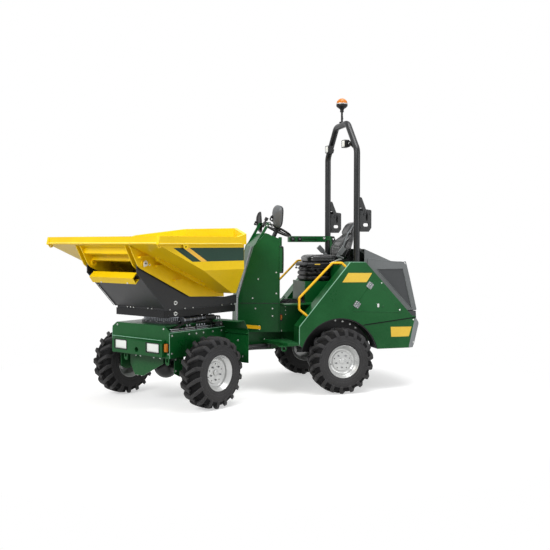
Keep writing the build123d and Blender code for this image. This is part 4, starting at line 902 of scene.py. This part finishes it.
# Tower: folded edges, a black strip that paints the shade of the panel seam, side handles and the bolts of the upper
# plates
HANDLE_Y = 318
bm = bmesh.new()
for hand in SIDES:
    folds = ((-166, 700), (-176, 1100), (-351, 1714), (-486, 1866))
    for (xa, za), (xb, zb) in zip(folds, folds[1:]):
        ends = ((xa, za), ((xa + xb) / 2, (za + zb) / 2), (xb, zb))
        pipe(bm, [tower_side(x, z, hand) for x, z in ends], 5, 10, 0, 2)
    pipe(bm, [tower_side(-630, z, hand, -2) for z in (700, 1000, 1300, 1780)], 6, 10, 0, 2)
    # Black strip that paints the shade of the seam between the panels
    seam = [tower_side(x, z, hand, 1) for x, z in ((-170, 1030), (-636, 1030), (-636, 1036), (-170, 1036))]
    prism(bm, seam, (0, hand * 1.5, 0), 2)
    loop = ((-662, 1400), (-674, 1414), (-678, 1560), (-676, 1690), (-664, 1704))
    pipe(bm, [(-636, hand * 314, 1398)] + [(x, hand * HANDLE_Y, z) for x, z in loop] + [(-636, hand * 314, 1706)],
         8, 12, 2, 4)
    block(bm, (-676, -636), (hand * 308, hand * 316), (1404, 1702))
    block(bm, (-664, -640), (hand * 290, hand * 312), (1440, 1720))
    for z in (1460, 1600, 1705):
        bolt(bm, (-652, hand * 312, z), (0, hand, 0), 4.5, False, 1)
    rod(bm, (-540, hand * 186, 1985), (-540, hand * 206, 1985), 16)
    for x, z, size in ((-540, 1985, 8), (-510, 1955, 7), (-440, 1800, 7)):
        bolt(bm, (x, hand * 206, z), (0, hand, 0), size, True, 1)
on_rear("tower_trim", bm, [GREEN, ZINC, BLACK], "green_paint", bevel=1.2)

# Deck mat with ribs, and the grip ribs of the pedals
bm = bmesh.new()
mat_edge = rounded(-811, 0, 318, 640, 18)
shell(bm, along_z, [(mat_edge, 1033.2), (mat_edge, 1038), (drawn_in(mat_edge, 0.985), 1040)])
for k in range(20):
    block(bm, (-958 + 15.4 * k, -951 + 15.4 * k), (-300, 300), (1039, 1042))
for pedal_y in (115, -145):
    for k in range(4):
        block(bm, (-757 + 16 * k, -750 + 16 * k), (pedal_y - 30, pedal_y + 30), (1094 - 14 * k, 1101 - 14 * k))
on_rear("deck_mat", bm, MAT, "black_plastic")

# Raised grip dimples on the steps, only where the cut-off corner leaves the step's plate
STEP_Z = 600
bm = bmesh.new()
for hand in SIDES:
    for k in range(9):
        for j in range(14):
            x, y = -748 + 17 * k, 250 + 30 * j
            if y < 684 and (x < -622 or (x + 620) / 170 < (650 - y) / 425):
                shell(bm, along_z, [(rounded(x, hand * y, 10, 18, 4, 2), STEP_Z),
                                    (rounded(x, hand * y, 6, 13, 2.8, 2), STEP_Z + 2.5)])
    plate(bm, along_z, ((-752, hand * 688), (-622, hand * 688), (-622, hand * 682), (-752, hand * 682)),
          STEP_Z, STEP_Z + 4)
on_rear("step_grip", bm, GREEN, "green_paint")

# Dash: three blank gauges and four push buttons
bm = bmesh.new()
dash = Matrix.Translation((-560, 0, 1846)) @ Matrix.Rotation(radians(-24.3), 4, "Y")
for y, r in ((-110, 34), (0, 44), (110, 34)):
    turned(bm, ((0, 2), (r - 8, 2), (r - 6, 7), (r, 7), (r + 3, 4), (r + 3, -2)),
           dash @ Matrix.Translation((10, y, -10)), 40)
for y in (-170, -150, 150, 170):
    turned(bm, ((0, 14), (7, 13), (8, 0), (11, 0), (11, -3)), dash @ Matrix.Translation((15, y, -10)), 20, 1)
on_rear("dash_gauges", bm, [PLASTIC, BLACK], "black_plastic")

# Amber side markers, and the yellow lock bar at the articulation
bm = bmesh.new()
for hand in SIDES:
    y, base, lens = hand * TOWER_SIDE_Y, rounded(-655, 865, 30, 92, 14), rounded(-655, 865, 22, 60, 10)
    shell(bm, along_y, [(base, y), (base, y + hand * 4)], 1)
    shell(bm, along_y, [(lens, y + hand * 4), (lens, y + hand * 12), (rounded(-655, 865, 14, 50, 6), y + hand * 17)])
on_rear("side_markers", bm, [AMBER, PLASTIC], "lamp_lens", bevel=0.8)
bm = bmesh.new()
prism(bm, ((-215, 205, 742), (-215, 205, 782), (-215, 225, 782), (-215, 225, 742)), (-190, 75, -14))
rod(bm, (-225, 215, 735), (-225, 215, 792), 9, 20, 1)
rod(bm, (-392, 285, 722), (-392, 285, 776), 9, 20, 1)
on_rear("lock_bar", bm, [AMBER_PAINT, ZINC], "yellow_paint", bevel=1.5)

# Pods: blank labels; dark strips that paint the shade of the crease above the tail and of the gap to the hood; pale
# strips and a pale plate that paint the highlights on the pod's front edges and top
bm = bmesh.new()
for hand in SIDES:
    plate(bm, along_y, ((-1286, 1291), (-1360, 1400), (-1661, 1397), (-1590, 1290)),
          *span(hand, POD_Y, POD_Y + 1.2))
    plate(bm, along_y, ((-1905, 752), (-2178, 748), (-2142, 632), (-1913, 633)), *span(hand, TAIL_Y, TAIL_Y + 1.2))
on_rear("blank_labels", bm, LABEL, "yellow_paint", bevel=0.3)
bm = bmesh.new()
for hand in SIDES:
    # Dark strips that paint the shade of the crease and of the gap to the hood
    plate(bm, along_y, ((-1546, 789), (-2230, 866), (-2230, 854), (-1556, 778)), *span(hand, 682, 688))
    plate(bm, along_y, ((-1570, 1520), (-1604, 1520), (-2206, 886), (-2176, 878)), *span(hand, 491, 494))
    a, b = span(hand, 500, 688)
    # Pale plate that paints the highlight on the pod's top face
    plate(bm, along_z, ((-1388, a), (-1578, a), (-1578, b), (-1388, b)), 1522.5, 1524.8, 1)
    for front_edge in (((-1384, 1522), (-1075, 1156), (-763, 786)), ((-763, 784), (-762, 680), (-763, 584))):
        pipe(bm, [(x, hand * (POD_Y - 3), z) for x, z in front_edge], 5, 10, 1, 2)
on_rear("pod_shade_and_highlights", bm, [PAINTED_SHADE, GREEN_HIGHLIGHT], "green_paint", bevel=0.4)

# Side hatches: two hinges each, a latch, a lock and a seam round the edge
HATCH_CORNERS = [(-1682, 1321), (-1416, 955), (-2040, 925), (-1720, 1321)]
HINGE_SHARES = (0.19, 0.8)
hinge_line = Vector((266, 0, -366)).normalized()
across_line = Vector((hinge_line.z, 0, -hinge_line.x))


def hinge_leaf(bm, share, y, hand, side, leaf_mat):
    """Leaf with three bolts on one side of the hinge line, 1 for the hatch and -1 for the pod; returns its middle."""
    middle = Vector((-1682 + share * 266, hand * y, 1321 - share * 366))
    out = Vector((0, hand * 2.5, 0))
    corners = ((-35, 11), (35, 11), (35, 36), (-35, 36))
    prism(bm, [middle + hinge_line * s + across_line * side * t for s, t in corners], out, leaf_mat)
    for s in (-24, 0, 24):
        bolt(bm, middle + hinge_line * s + across_line * side * 22 + out, (0, hand, 0), 4.5, False)
    return middle


for body, hand in (("left_hatch", 1), ("right_hatch", -1)):
    bm = bmesh.new()
    for share in HINGE_SHARES:
        middle = hinge_leaf(bm, share, HATCH_Y, hand, 1, 4)
        for s in (-30, -10, 10, 30):
            c = Vector((middle.x, hand * 698, middle.z)) + hinge_line * s
            turned(bm, ((7.1, -8), (8.2, -7), (8.2, 7), (7.1, 8)), frame_at(c, hinge_line), 20, closed=True)
    latch = rounded(-1737, 1013, 26, 44, 8)
    shell(bm, along_y, [(latch, hand * HATCH_Y), (latch, hand * 699), (drawn_in(latch, 0.8), hand * 702)], 1)
    turned(bm, ((0, 5), (8, 5), (16, 3), (18, 0)), frame_at((-1795, hand * HATCH_Y, 1000), (0, hand, 0)), 28, 2)
    # Thin black block that paints the shade of the key slot
    block(bm, (-1797, -1793), span(hand, 699, 700.5), (990, 1010), 3)
    bead(bm, HATCH_CORNERS, hand * 693.6, 2.2, 8, 2)
    on_rear(f"{body}_fittings", bm, [STEEL, RIM, GREEN, BLACK, NUT], "bare_steel", body, bevel=0.5)
bm = bmesh.new()
for hand in SIDES:
    for share in HINGE_SHARES:
        hinge_leaf(bm, share, 694, hand, -1, 1)
on_rear("hinge_bolts", bm, [ZINC, NUT], "bare_steel")

# Hood: inset flank panels, dark frame edges, louvres and a rear handle
bm = bmesh.new()
for hand in SIDES:
    plate(bm, along_y, ((-1812, 1430), (-2144, 1430), (-2262, 955)), *span(hand, 480, 481.5), 2)
    bead(bm, ((-1800, 1440), (-2152, 1440), (-2276, 940)), hand * 490, 4, 8, 0)
    outer = ((-1700, 1560), (-2019, 1524), (-2162, 1515), (-2202, 1472), (-2334, 938))
    pipe(bm, [(x, hand * 486, z) for x, z in outer], 6, 10, 0, 3)
for k in range(9):
    z = 1040 + 26 * k
    x = -2204 - (1470 - z) * 135 / 545
    prism(bm, ((x - 1, -260, z), (x - 9, -260, z - 4), (x - 9, -260, z - 9), (x - 1, -260, z - 14)), (0, 520, 0), 1)
pipe(bm, ((-2232, -90, 1380), (-2250, -90, 1378), (-2252, -60, 1378), (-2252, 60, 1378), (-2250, 90, 1378),
          (-2232, 90, 1380)), 8, 12, 1)
on_rear("hood_trim", bm, [GREY, BLACK, DARK_GREY], "grey_paint", "rear_hood", bevel=0.6)

# Roll posts: collars at the joint, fold pins, black plates that paint the shade of the slots, and bolts of the hinge
# plates
POST_X, POST_Y, HINGE_OUT = -1540, 500, 20
bm = bmesh.new()
for y in (POST_Y, -POST_Y):
    turned(bm, ((30, 2164.5), (36.5, 2164.5), (36.5, 2169), (30, 2169)), Matrix.Translation((POST_X, y, 0)), 40,
           closed=True)
    for hand in SIDES:
        for x, z in ((-1590, 1930), (-1590, 2120), (-1700, 2100)):
            bolt(bm, (x, y + hand * HINGE_OUT, z), (0, hand, 0), 8)
        rod(bm, (-1640, y + hand * HINGE_OUT, 2120), (-1640, y + hand * 27, 2120), 16)
        # Black plate that paints the shade of a slot
        plate(bm, along_y, arc(-1654, 2060, 6, 34, 0, 330, 30), *span(hand, HINGE_OUT, 22, y), 1)
        plate(bm, along_y, ((-1568, 2130), (-1568, 2163), (-1608, 2163), (-1608, 2130)), *span(hand, 12, 20, y))
on_rear("post_fittings", bm, [BLACK, PLASTIC], "black_paint", bevel=0.8)

# Hoop: beacon stem and foot, stop tabs, and two work lamps on clamped brackets
WORK_LAMP_Y, WORK_LAMP_Z = 290, 2950
bm = bmesh.new()
hoop_axis = Matrix.Translation((POST_X, 0, 0))
turned(bm, ((0, 3228), (13, 3228), (13, 3376), (17, 3380), (24, 3384), (24, 3400), (20, 3404), (24, 3408), (28, 3420),
            (30, 3422), (52, 3436), (68, 3452), (71, 3462), (71, 3474), (69, 3478), (0, 3478)), hoop_axis, 48)
turned(bm, ((62, 3478), (71, 3478), (71.5, 3482), (71, 3487), (64, 3488), (62, 3484)), hoop_axis, 48, 1, closed=True)
pipe(bm, ((POST_X, 13, 3300), (POST_X, 26, 3300), (POST_X, 30, 3316), (POST_X, 22, 3330)), 4, 8)
block(bm, (-1548, -1532), (10, 32), (3290, 3300))
turned(bm, ((0, 3262), (30, 3262), (34, 3256), (34, 3249), (20, 3246)), hoop_axis, 32)
for y in (POST_Y, -POST_Y):
    plate(bm, along_y, ((-1560, 2172), (-1560, 2205), (-1606, 2205), (-1614, 2168), (-1582, 2168)), y - 4, y + 5)
for hand in SIDES:
    y, z = hand * WORK_LAMP_Y, WORK_LAMP_Z
    outer, inner = rounded(y, z, 112, 92, 16), rounded(y, z, 98, 78, 12)
    shell(bm, along_x, [(drawn_in(outer, 0.55), -1528), (drawn_in(outer, 0.8), -1516), (outer, -1498), (outer, -1448),
                        (drawn_in(outer, 0.98), -1443), (inner, -1443), (inner, -1450)], head=False)
    for k in range(6):
        block(bm, (-1530, -1512), (y - 34 + 12 * k, y - 30 + 12 * k), (z - 32, z + 32))
    shell(bm, along_x, [(inner, -1452), (drawn_in(inner, 0.99), -1446), (drawn_in(inner, 0.8), -1441),
                        (drawn_in(inner, 0.4), -1439)], 2)
    pipe(bm, ((-1500, y + hand * 58, z), (-1500, y + hand * 66, z - 2), (-1520, y + hand * 70, z - 20),
              (POST_X, y + hand * 90, z - 50), (POST_X, y + hand * 122, z - 60)), 9)
    pipe(bm, ((-1500, y + hand * 58, z), (-1530, y + hand * 80, z - 5), (POST_X, y + hand * 112, z - 6)), 9)
    turned(bm, ((38.3, -22), (43, -20), (43, 20), (38.3, 22)),
           frame_at((POST_X, hand * 400.5, z), (0, hand * -0.62, 0.786)), 40, closed=True)
    rod(bm, (-1500, y + hand * 56, z), (-1500, y + hand * 64, z), 13, 20, 1)
on_rear("hoop_fittings", bm, [PLASTIC, RIM, LENS], "black_plastic", "roll_bar", bevel=0.8, replaces=("hoop_lamps",))

# Beacon: ribbed amber dome over its core
bm = bmesh.new()
turned(bm, [(69.5, 3482)] + arc(0, 3486, 68, 66, 5, 85, 8) + [(0, 3552)], hoop_axis, 64)
for a in around(24):
    d = Vector((cos(a), sin(a), 0))
    rod(bm, Vector((POST_X, 0, 3488)) + d * 67.6, Vector((POST_X, 0, 3520)) + d * 60, 1.6, 6)
on_rear("beacon_dome", bm, AMBER, "lamp_lens", "roll_bar", smooth=60)
bm = bmesh.new()
turned(bm, ((0, 3488), (24, 3488), (24, 3494), (16, 3498), (12, 3520), (0, 3522)), hoop_axis, 24)
on_rear("beacon_core", bm, STEEL, "bare_steel", "roll_bar")

# Seat: padded cushion and backrest, swelled by a cloth simulation, then carved with seams
CLOTH_FRAMES, CLOTH_PRESSURE, VOXEL = 20, 4, 0.007


def superellipse(w, d, n, power):
    """Outline of a pad's section: half width w along one axis, half depth d along the other."""
    return [(w * abs(cos(a)) ** power * (1 if cos(a) > 0 else -1), d * abs(sin(a)) ** power * (1 if sin(a) > 0 else -1))
            for a in around(n)]


def clamped(value):
    """The value held between 0 and 1."""
    return min(1, max(0, value))


def swelled(name, bm, cap):
    """A closed skin remeshed, inflated as cloth and held within cap millimetres of its start."""
    bmesh.ops.recalc_face_normals(bm, faces=bm.faces)
    mesh = bpy.data.meshes.new(name)
    bm.to_mesh(mesh)
    bm.free()
    mesh.transform(MM)
    o = bpy.data.objects.new(name, mesh)
    scene.collection.objects.link(o)
    remesh = o.modifiers.new("remesh", "REMESH")
    remesh.mode = "VOXEL"
    remesh.voxel_size = VOXEL
    depsgraph = bpy.context.evaluated_depsgraph_get()
    start = bpy.data.meshes.new_from_object(o.evaluated_get(depsgraph))
    o.modifiers.clear()
    o.data = start
    rest = [v.co.copy() for v in start.vertices]
    cloth = o.modifiers.new("cloth", "CLOTH")
    cloth.settings.use_pressure = True
    cloth.settings.uniform_pressure_force = CLOTH_PRESSURE
    cloth.settings.effector_weights.gravity = 0
    cloth.point_cache.frame_start, cloth.point_cache.frame_end = 1, CLOTH_FRAMES
    for number in range(1, CLOTH_FRAMES + 1):
        scene.frame_set(number)
    depsgraph = bpy.context.evaluated_depsgraph_get()
    puffed = bpy.data.meshes.new_from_object(o.evaluated_get(depsgraph))
    for v, w in zip(rest, puffed.vertices):
        step = w.co - v
        if step.length > cap / 1000:
            step *= cap / 1000 / step.length
        v += step
    o.modifiers.clear()
    scene.frame_set(1)
    skin = bmesh.new()
    skin.from_mesh(start)
    bpy.data.objects.remove(o)
    for v, co in zip(skin.verts, rest):
        v.co = co * 1000
    bmesh.ops.smooth_vert(skin, verts=skin.verts, factor=0.5, use_axis_x=True, use_axis_y=True, use_axis_z=True)
    return skin


def groove(distance, width, depth):
    """How deep a seam is at a distance from its line."""
    return depth * (1 - (distance / width) ** 2) ** 2 if abs(distance) < width else 0.0


def soften(o):
    smooth = o.modifiers.new("soft", "SUBSURF")
    smooth.levels = smooth.render_levels = 1


def soft_piece(name, bm, node):
    o = on_rear(name, bm, VINYL, "seat_vinyl", smooth=180, replaces=(node,))
    soften(o)


# Cushion: raised at the sides and the rear, falling at the front, with seams round its middle panel
CUSHION_X, CUSHION_W, CUSHION_D, CUSHION_PIPING_Z = -1248, 216, 224, 1548
PANEL_HALF, FRONT_SEAM_X = 118, -1130
bm = bmesh.new()
shell(bm, lambda u, v, w: Vector((CUSHION_X + u, v, w)),
      [(superellipse(CUSHION_W * k, CUSHION_D * k, 48, 0.5), z)
       for z, k in ((1512, 0.88), (1519, 0.96), (1532, 1.0), (1572, 1.0), (1586, 0.97), (1594, 0.9))])
bm = swelled("cushion_start", bm, 9)
for v in bm.verts:
    x, y, z = v.co
    if z > 1560:
        share = min(1, (z - 1560) / 25)
        side_rise, rear_rise = clamped((abs(y) - 110) / 70), clamped((-1330 - x) / 90)
        front_fall = clamped((x - FRONT_SEAM_X) / 110)
        v.co.z += share * (9 * side_rise + 6 * rear_rise - 10 * front_fall ** 2 - 5)
        cross_seam = groove(x - FRONT_SEAM_X + 0.0008 * y * y, 9, 7 if abs(y) < PANEL_HALF + 8 else 0)
        v.co.z -= share * (groove(abs(y) - PANEL_HALF, 9, 9) + cross_seam)
    v.co -= v.normal * groove(z - CUSHION_PIPING_Z, 6, 5)
soft_piece("seat_pad", bm, "seat_cushion")

# Backrest: a leaning pad with side wings, cross seams and a narrower headrest above a neck
lean = Vector((-158, 0, 390)).normalized()
face = Vector((lean.z, 0, -lean.x))
foot = Vector((-1486, 0, 1560))
NECK_UP, WING_FROM = 304, 124
rows = ((0, 190, 34, 74), (20, 204, 58, 84), (80, 212, 76, 88), (150, 210, 76, 84), (220, 202, 58, 80),
        (270, 186, 42, 78), (296, 168, 30, 76), (312, 160, 30, 74), (345, 162, 40, 74), (400, 158, 38, 72),
        (450, 150, 30, 66), (480, 138, 18, 58), (500, 112, 2, 40))
bm = bmesh.new()
shell(bm, lambda u, v, w: foot + lean * w[0] + Vector((0, u, 0)) + face * (v + w[1]),
      [(superellipse(w - 8, (f + b) / 2 - 8, 48, 0.6), (up, (f - b) / 2)) for up, w, f, b in rows])
bm = swelled("back_start", bm, 8)
for v in bm.verts:
    p = v.co - foot
    up, t, y = p.dot(lean), p.dot(face), abs(v.co.y)
    if t > -20:
        if up < 296:
            v.co += face * 14 * clamped((y - WING_FROM) / 30) * clamped((294 - up) / 60)
            seam_depth = 6 if y < WING_FROM else 0
            v.co -= face * (groove(y - WING_FROM, 10, 11) + groove(up - 120, 9, seam_depth)
                            + groove(up - 205, 9, seam_depth))
        v.co -= face * groove(up - NECK_UP - 0.0008 * y * y, 12, 14)
    v.co.y -= (1 if v.co.y > 0 else -1) * groove(t + 18, 6, 5)
soft_piece("seat_rest", bm, "seat_back")

# Suspension bellows: three folds, as level, half length and half width
bm = bmesh.new()
waves = [(1283, 132, 192), (1288, 146, 204), (1300, 158, 216), (1318, 166, 222), (1334, 164, 221), (1346, 150, 210),
         (1351, 140, 200), (1356, 150, 209), (1366, 160, 218), (1382, 164, 221), (1396, 160, 218), (1406, 148, 208),
         (1411, 138, 200), (1416, 146, 206), (1428, 156, 214), (1442, 156, 214), (1452, 146, 206), (1460, 138, 200),
         (1470, 136, 198)]
shell(bm, lambda u, v, w: Vector((-1164 + u, v, w)), [(superellipse(a, b, 64, 0.42), z) for z, a, b in waves])
soften(on_rear("seat_bellows", bm, PLASTIC, "black_plastic", smooth=75, replaces=("seat_base",)))

# Seat pan with its slides, release bar, adjuster knobs, lever and plug
bm = bmesh.new()
shell(bm, lambda u, v, w: Vector((-1215 + u, v, w)),
      [(rounded(0, 0, w, d, r), z) for w, d, r, z in
       ((430, 436, 40, 1474), (438, 444, 44, 1482), (438, 444, 44, 1496), (400, 410, 40, 1512))])
for hand in SIDES:
    block(bm, (-1420, -1010), (hand * 232 - 7, hand * 232 + 7), (1462, 1476))
    pipe(bm, ((-1000, hand * 150, 1452), (-985, hand * 150, 1446), (-975, hand * 120, 1440), (-975, hand * 60, 1440)),
         7)
rod(bm, (-1075, 222, 1430), (-1075, 246, 1430), 24, 28)
rod(bm, (-1075, 246, 1430), (-1075, 252, 1430), 17, 28)
rod(bm, (-1150, 220, 1418), (-1150, 240, 1418), 17)
pipe(bm, ((-1010, 225, 1490), (-985, 232, 1484), (-960, 236, 1478)), 9)
block(bm, (-1035, -1012), (-232, -205), (1478, 1500), 1)
for x in (-1100, -1160, -1220):
    rod(bm, (x, 216, 1296), (x, 226, 1296), 7, 12)
on_rear("seat_pan", bm, [PLASTIC, GREEN], "black_plastic", bevel=2)

# Recline levers, a blank tag and the seat belt's webbing
bm = bmesh.new()
for hand in SIDES:
    plate(bm, along_y, ((-1470, 1580), (-1480, 1558), (-1300, 1502), (-1292, 1508)), *span(hand, 236, 242))
block(bm, (-1180, -1108), (222.5, 224), (1484, 1496), 1)
belt = [Vector(p) for p in ((-1640, 178, 1990), (-1596, 190, 1930), (-1535, 214, 1860), (-1498, 228, 1774),
                            (-1462, 236, 1676))]
for a, b in zip(belt, belt[1:]):
    prism(bm, [a + Vector(p) for p in ((-8, 0, -3), (8, 0, 3), (8, 3, 3), (-8, 3, -3))], b - a, 2)
on_rear("seat_levers", bm, [ZINC, LABEL, WEBBING], "bare_steel", bevel=0.8)

# Belt buckles on short stalks, one each side
bm = bmesh.new()
for middle, tilt, y in ((Vector((-1448, 250, 1655)), 130, 250), (Vector((-1352, -246, 1672)), 46, -246)):
    turn = Matrix.Translation(middle) @ Matrix.Rotation(radians(-tilt), 4, "Y")
    housing = block(bm, (-48, 48), (-12, 12), (-30, 30))
    tongue = block(bm, (-96, -46), (-7, 7), (-19, 19))
    button = block(bm, (30, 43), (-5, 5), (-15, 15), 1)
    for v in housing + tongue + button:
        v.co = turn @ v.co
    end = turn @ Vector((-84, 0, 0))
    anchor_y = y * 0.97
    pipe(bm, (end, end.lerp(Vector((-1470, anchor_y, 1580)), 0.5) + Vector((0, 0, -6)), (-1470, anchor_y, 1560)), 15)
on_rear("seat_buckles", bm, [GREY, PLASTIC], "black_plastic", bevel=4)

# Mirrors: rounded shells with glass to the rear, on bent arms
EGG_W, EGG_H, EGG_N = 86, 128, 48
GLASS_MAT, SHELL_MAT, PLASTIC_MAT = 2, 1, 0
# Share of the full outline, depth forward of the middle, and material, from the glass to the back of the shell
mirror_rings = ((0.0, -22, GLASS_MAT), (0.9, -22, GLASS_MAT), (0.93, -23, PLASTIC_MAT), (1.0, -22, PLASTIC_MAT),
                (1.02, -14, PLASTIC_MAT), (1.0, -4, PLASTIC_MAT), (0.94, 8, SHELL_MAT), (0.8, 22, SHELL_MAT),
                (0.58, 34, SHELL_MAT), (0.3, 41, SHELL_MAT), (0.0, 43, SHELL_MAT))
# The left mirror's back is grey and the right's black: a lit and a shaded copy of one black shell
for tag, hand, z, lean_out, x, yaw, back in (("left", 1, 2062, 10, -606, 18, SHELL),
                                             ("right", -1, 2010, -14, -560, -8, PLASTIC)):
    turn = (Matrix.Translation((x, hand * 330, z)) @ Matrix.Rotation(radians(-lean_out), 4, "X")
            @ Matrix.Rotation(radians(yaw), 4, "Z"))
    egg = [(EGG_W * (1 + 0.13 * sin(a)) * abs(cos(a)) ** 0.55 * (1 if cos(a) > 0 else -1),
            EGG_H * abs(sin(a)) ** 0.62 * (1 if sin(a) > 0 else -1)) for a in around(EGG_N)]
    bm = bmesh.new()
    made = []
    for share, depth, _ in mirror_rings:
        shift = -hand * 40 * (1 - share) if depth > 0 else 0
        outline = [(y * share + shift, h * share) for y, h in egg] if share else [(shift, 0)]
        made.append([bm.verts.new(turn @ Vector((depth, y, h))) for y, h in outline])
    for a, b, (_, _, mat) in zip(made, made[1:], mirror_rings[1:]):
        fan(bm, a, b, EGG_N, mat)
    joint = turn @ Vector((44, -hand * 46, -10))
    rod(bm, turn @ Vector((26, -hand * 46, -10)), joint, 22)
    turned(bm, arc(0, 0, 17, 17, -80, 90, 20), Matrix.Translation(joint + Vector((6, 0, 0))), 20)
    pipe(bm, (joint + Vector((8, 0, 0)), joint + Vector((22, -hand * 12, -30)), (-592, hand * 268, 1990),
              (-590, hand * 240, 1968), (-575, hand * 214, 1960)), 9, 12)
    rod(bm, (-575, hand * 204, 1960), (-575, hand * 222, 1960), 18)
    bolt(bm, (-575, hand * 222, 1960), (0, hand, 0), 9, True, 3)
    on_rear(f"mirror_{tag}", bm, [PLASTIC, back, GLASS, ZINC], "black_plastic", smooth=22, replaces=("mirrors",))

# Control arm: side plates with a slot line drawn as a dark strip of painted shade, two knobs and its bracket on the
# post
ARM_FACE = -455
bm = bmesh.new()
for low, high in ((-459.5, ARM_FACE), (-525, -520.5)):
    plate(bm, along_y, ((-992, 1762), (-992, 1840), (-1502, 1840), (-1502, 1762)), low, high)
block(bm, (-1502, -993), (-521, -459), (1763, 1839))
# Near-black strip that paints the shade of the slot
plate(bm, along_y, ((-1190, 1797), (-1190, 1806), (-1372, 1806), (-1372, 1797)), ARM_FACE, ARM_FACE + 2, 3)
for x in (-1039, -1135):
    knob = frame_at((x, ARM_FACE, 1801), (0, 1, 0))
    turned(bm, ((22, 0), (29, 2), (30, 9), (26, 14), (12, 16), (10, 15)), knob, 32, 1)
    turned(bm, ((0, 16.5), (9, 16.5), (11, 15), (11, 13)), knob, 20, 4)
bolt(bm, (-1470, ARM_FACE, 1811), (0, 1, 0), 12, True, 2)
plate(bm, along_y, ((-1502, 1840), (-1590, 1840), (-1628, 1800), (-1620, 1760), (-1592, 1590), (-1560, 1590),
                    (-1552, 1786), (-1502, 1786)), -459, -452)
plate(bm, along_y, ((-1570, 1838), (-1612, 1838), (-1634, 1780), (-1596, 1700)), -452, -446, 1)
for x, y, z in ((-1596, -446, 1800), (-1578, -452, 1700), (-1576, -452, 1630)):
    bolt(bm, (x, y, z), (0, 1, 0), 9, True, 2)
on_rear("arm_plates", bm, [GREEN, DEEP_BLACK, ZINC, PAINTED_SHADE, SHELL], "green_paint", bevel=1.5,
        replaces=("control_arm",))

# Black backs inside the wheel arches, and grey corner guards at the tail
bm = bmesh.new()
for hand in SIDES:
    plate(bm, along_y, arc(REAR_AXLE_X, WHEEL_HEIGHT, ARCH_R - 2, ARCH_R - 2, 10, 170, 8),
          *span(hand, POD_IN_Y - 3.5, POD_IN_Y))
on_rear("arch_backs", bm, PLASTIC, "black_plastic")
bm = bmesh.new()
for hand in SIDES:
    levels = []
    for z, out in ((495, 62), (560, 70), (776, 74), (800, 66), (868, 6)):
        x = -2143 - (z - 495) * 85 / 376
        levels.append(([(x + 3, 684.5), (x - 4, 684.5), (x - out, 664), (x - out - 8, 630),
                        (x - out - 8, 487), (x + 3, 487)], z))
    shell(bm, lambda u, v, w: Vector((u, hand * v, w)), levels)
on_rear("tail_guards", bm, TAIL_GREY, "grey_paint", bevel=3)

# Cable across the seat box, and three levers beside it
bm = bmesh.new()
pipe(bm, ((-1010, 80, 1283), (-1012, 110, 1240), (-1014, 170, 1180), (-1014, 220, 1140)), 5)
pipe(bm, ((-980, 150, 1040), (-975, 160, 1100), (-985, 170, 1130)), 8, 10, 1)
for y in (130, 170, 210):
    rod(bm, (-975, y, 1034), (-965, y, 1110), 7, 16, 1)
    turned(bm, ((0, 22), (12, 18), (15, 8), (10, -4), (0, -8)), frame_at((-964, y, 1112), (0.1, 0, 1)), 20, 1)
block(bm, (-1000, -955), (110, 230), (1034, 1052), 1)
on_rear("seat_box_fittings", bm, [AMBER_PAINT, PLASTIC], "black_plastic", bevel=1)

# Hinge plates of the roll bar: bolts, and dark plates that paint the shade of their slots
bm = bmesh.new()
for y in (POST_Y, -POST_Y):
    for hand in SIDES:
        out = y + hand * (HINGE_OUT + 0.5)
        bolt(bm, (-1582, out, 2100), (0, hand, 0), 11)
        bolt(bm, (-1628, out, 2092), (0, hand, 0), 11)
        slot_shade = [(-1662 + 13 * cos(radians(a)) ** 3, 2064 + 62 * sin(radians(a))) for a in range(0, 360, 20)]
        plate(bm, along_y, slot_shade, *span(hand, 0, 1.5, out), 1)
on_rear("hinge_plate_slot_shade", bm, [BLACK, PAINTED_SHADE], "black_paint", bevel=0.6)
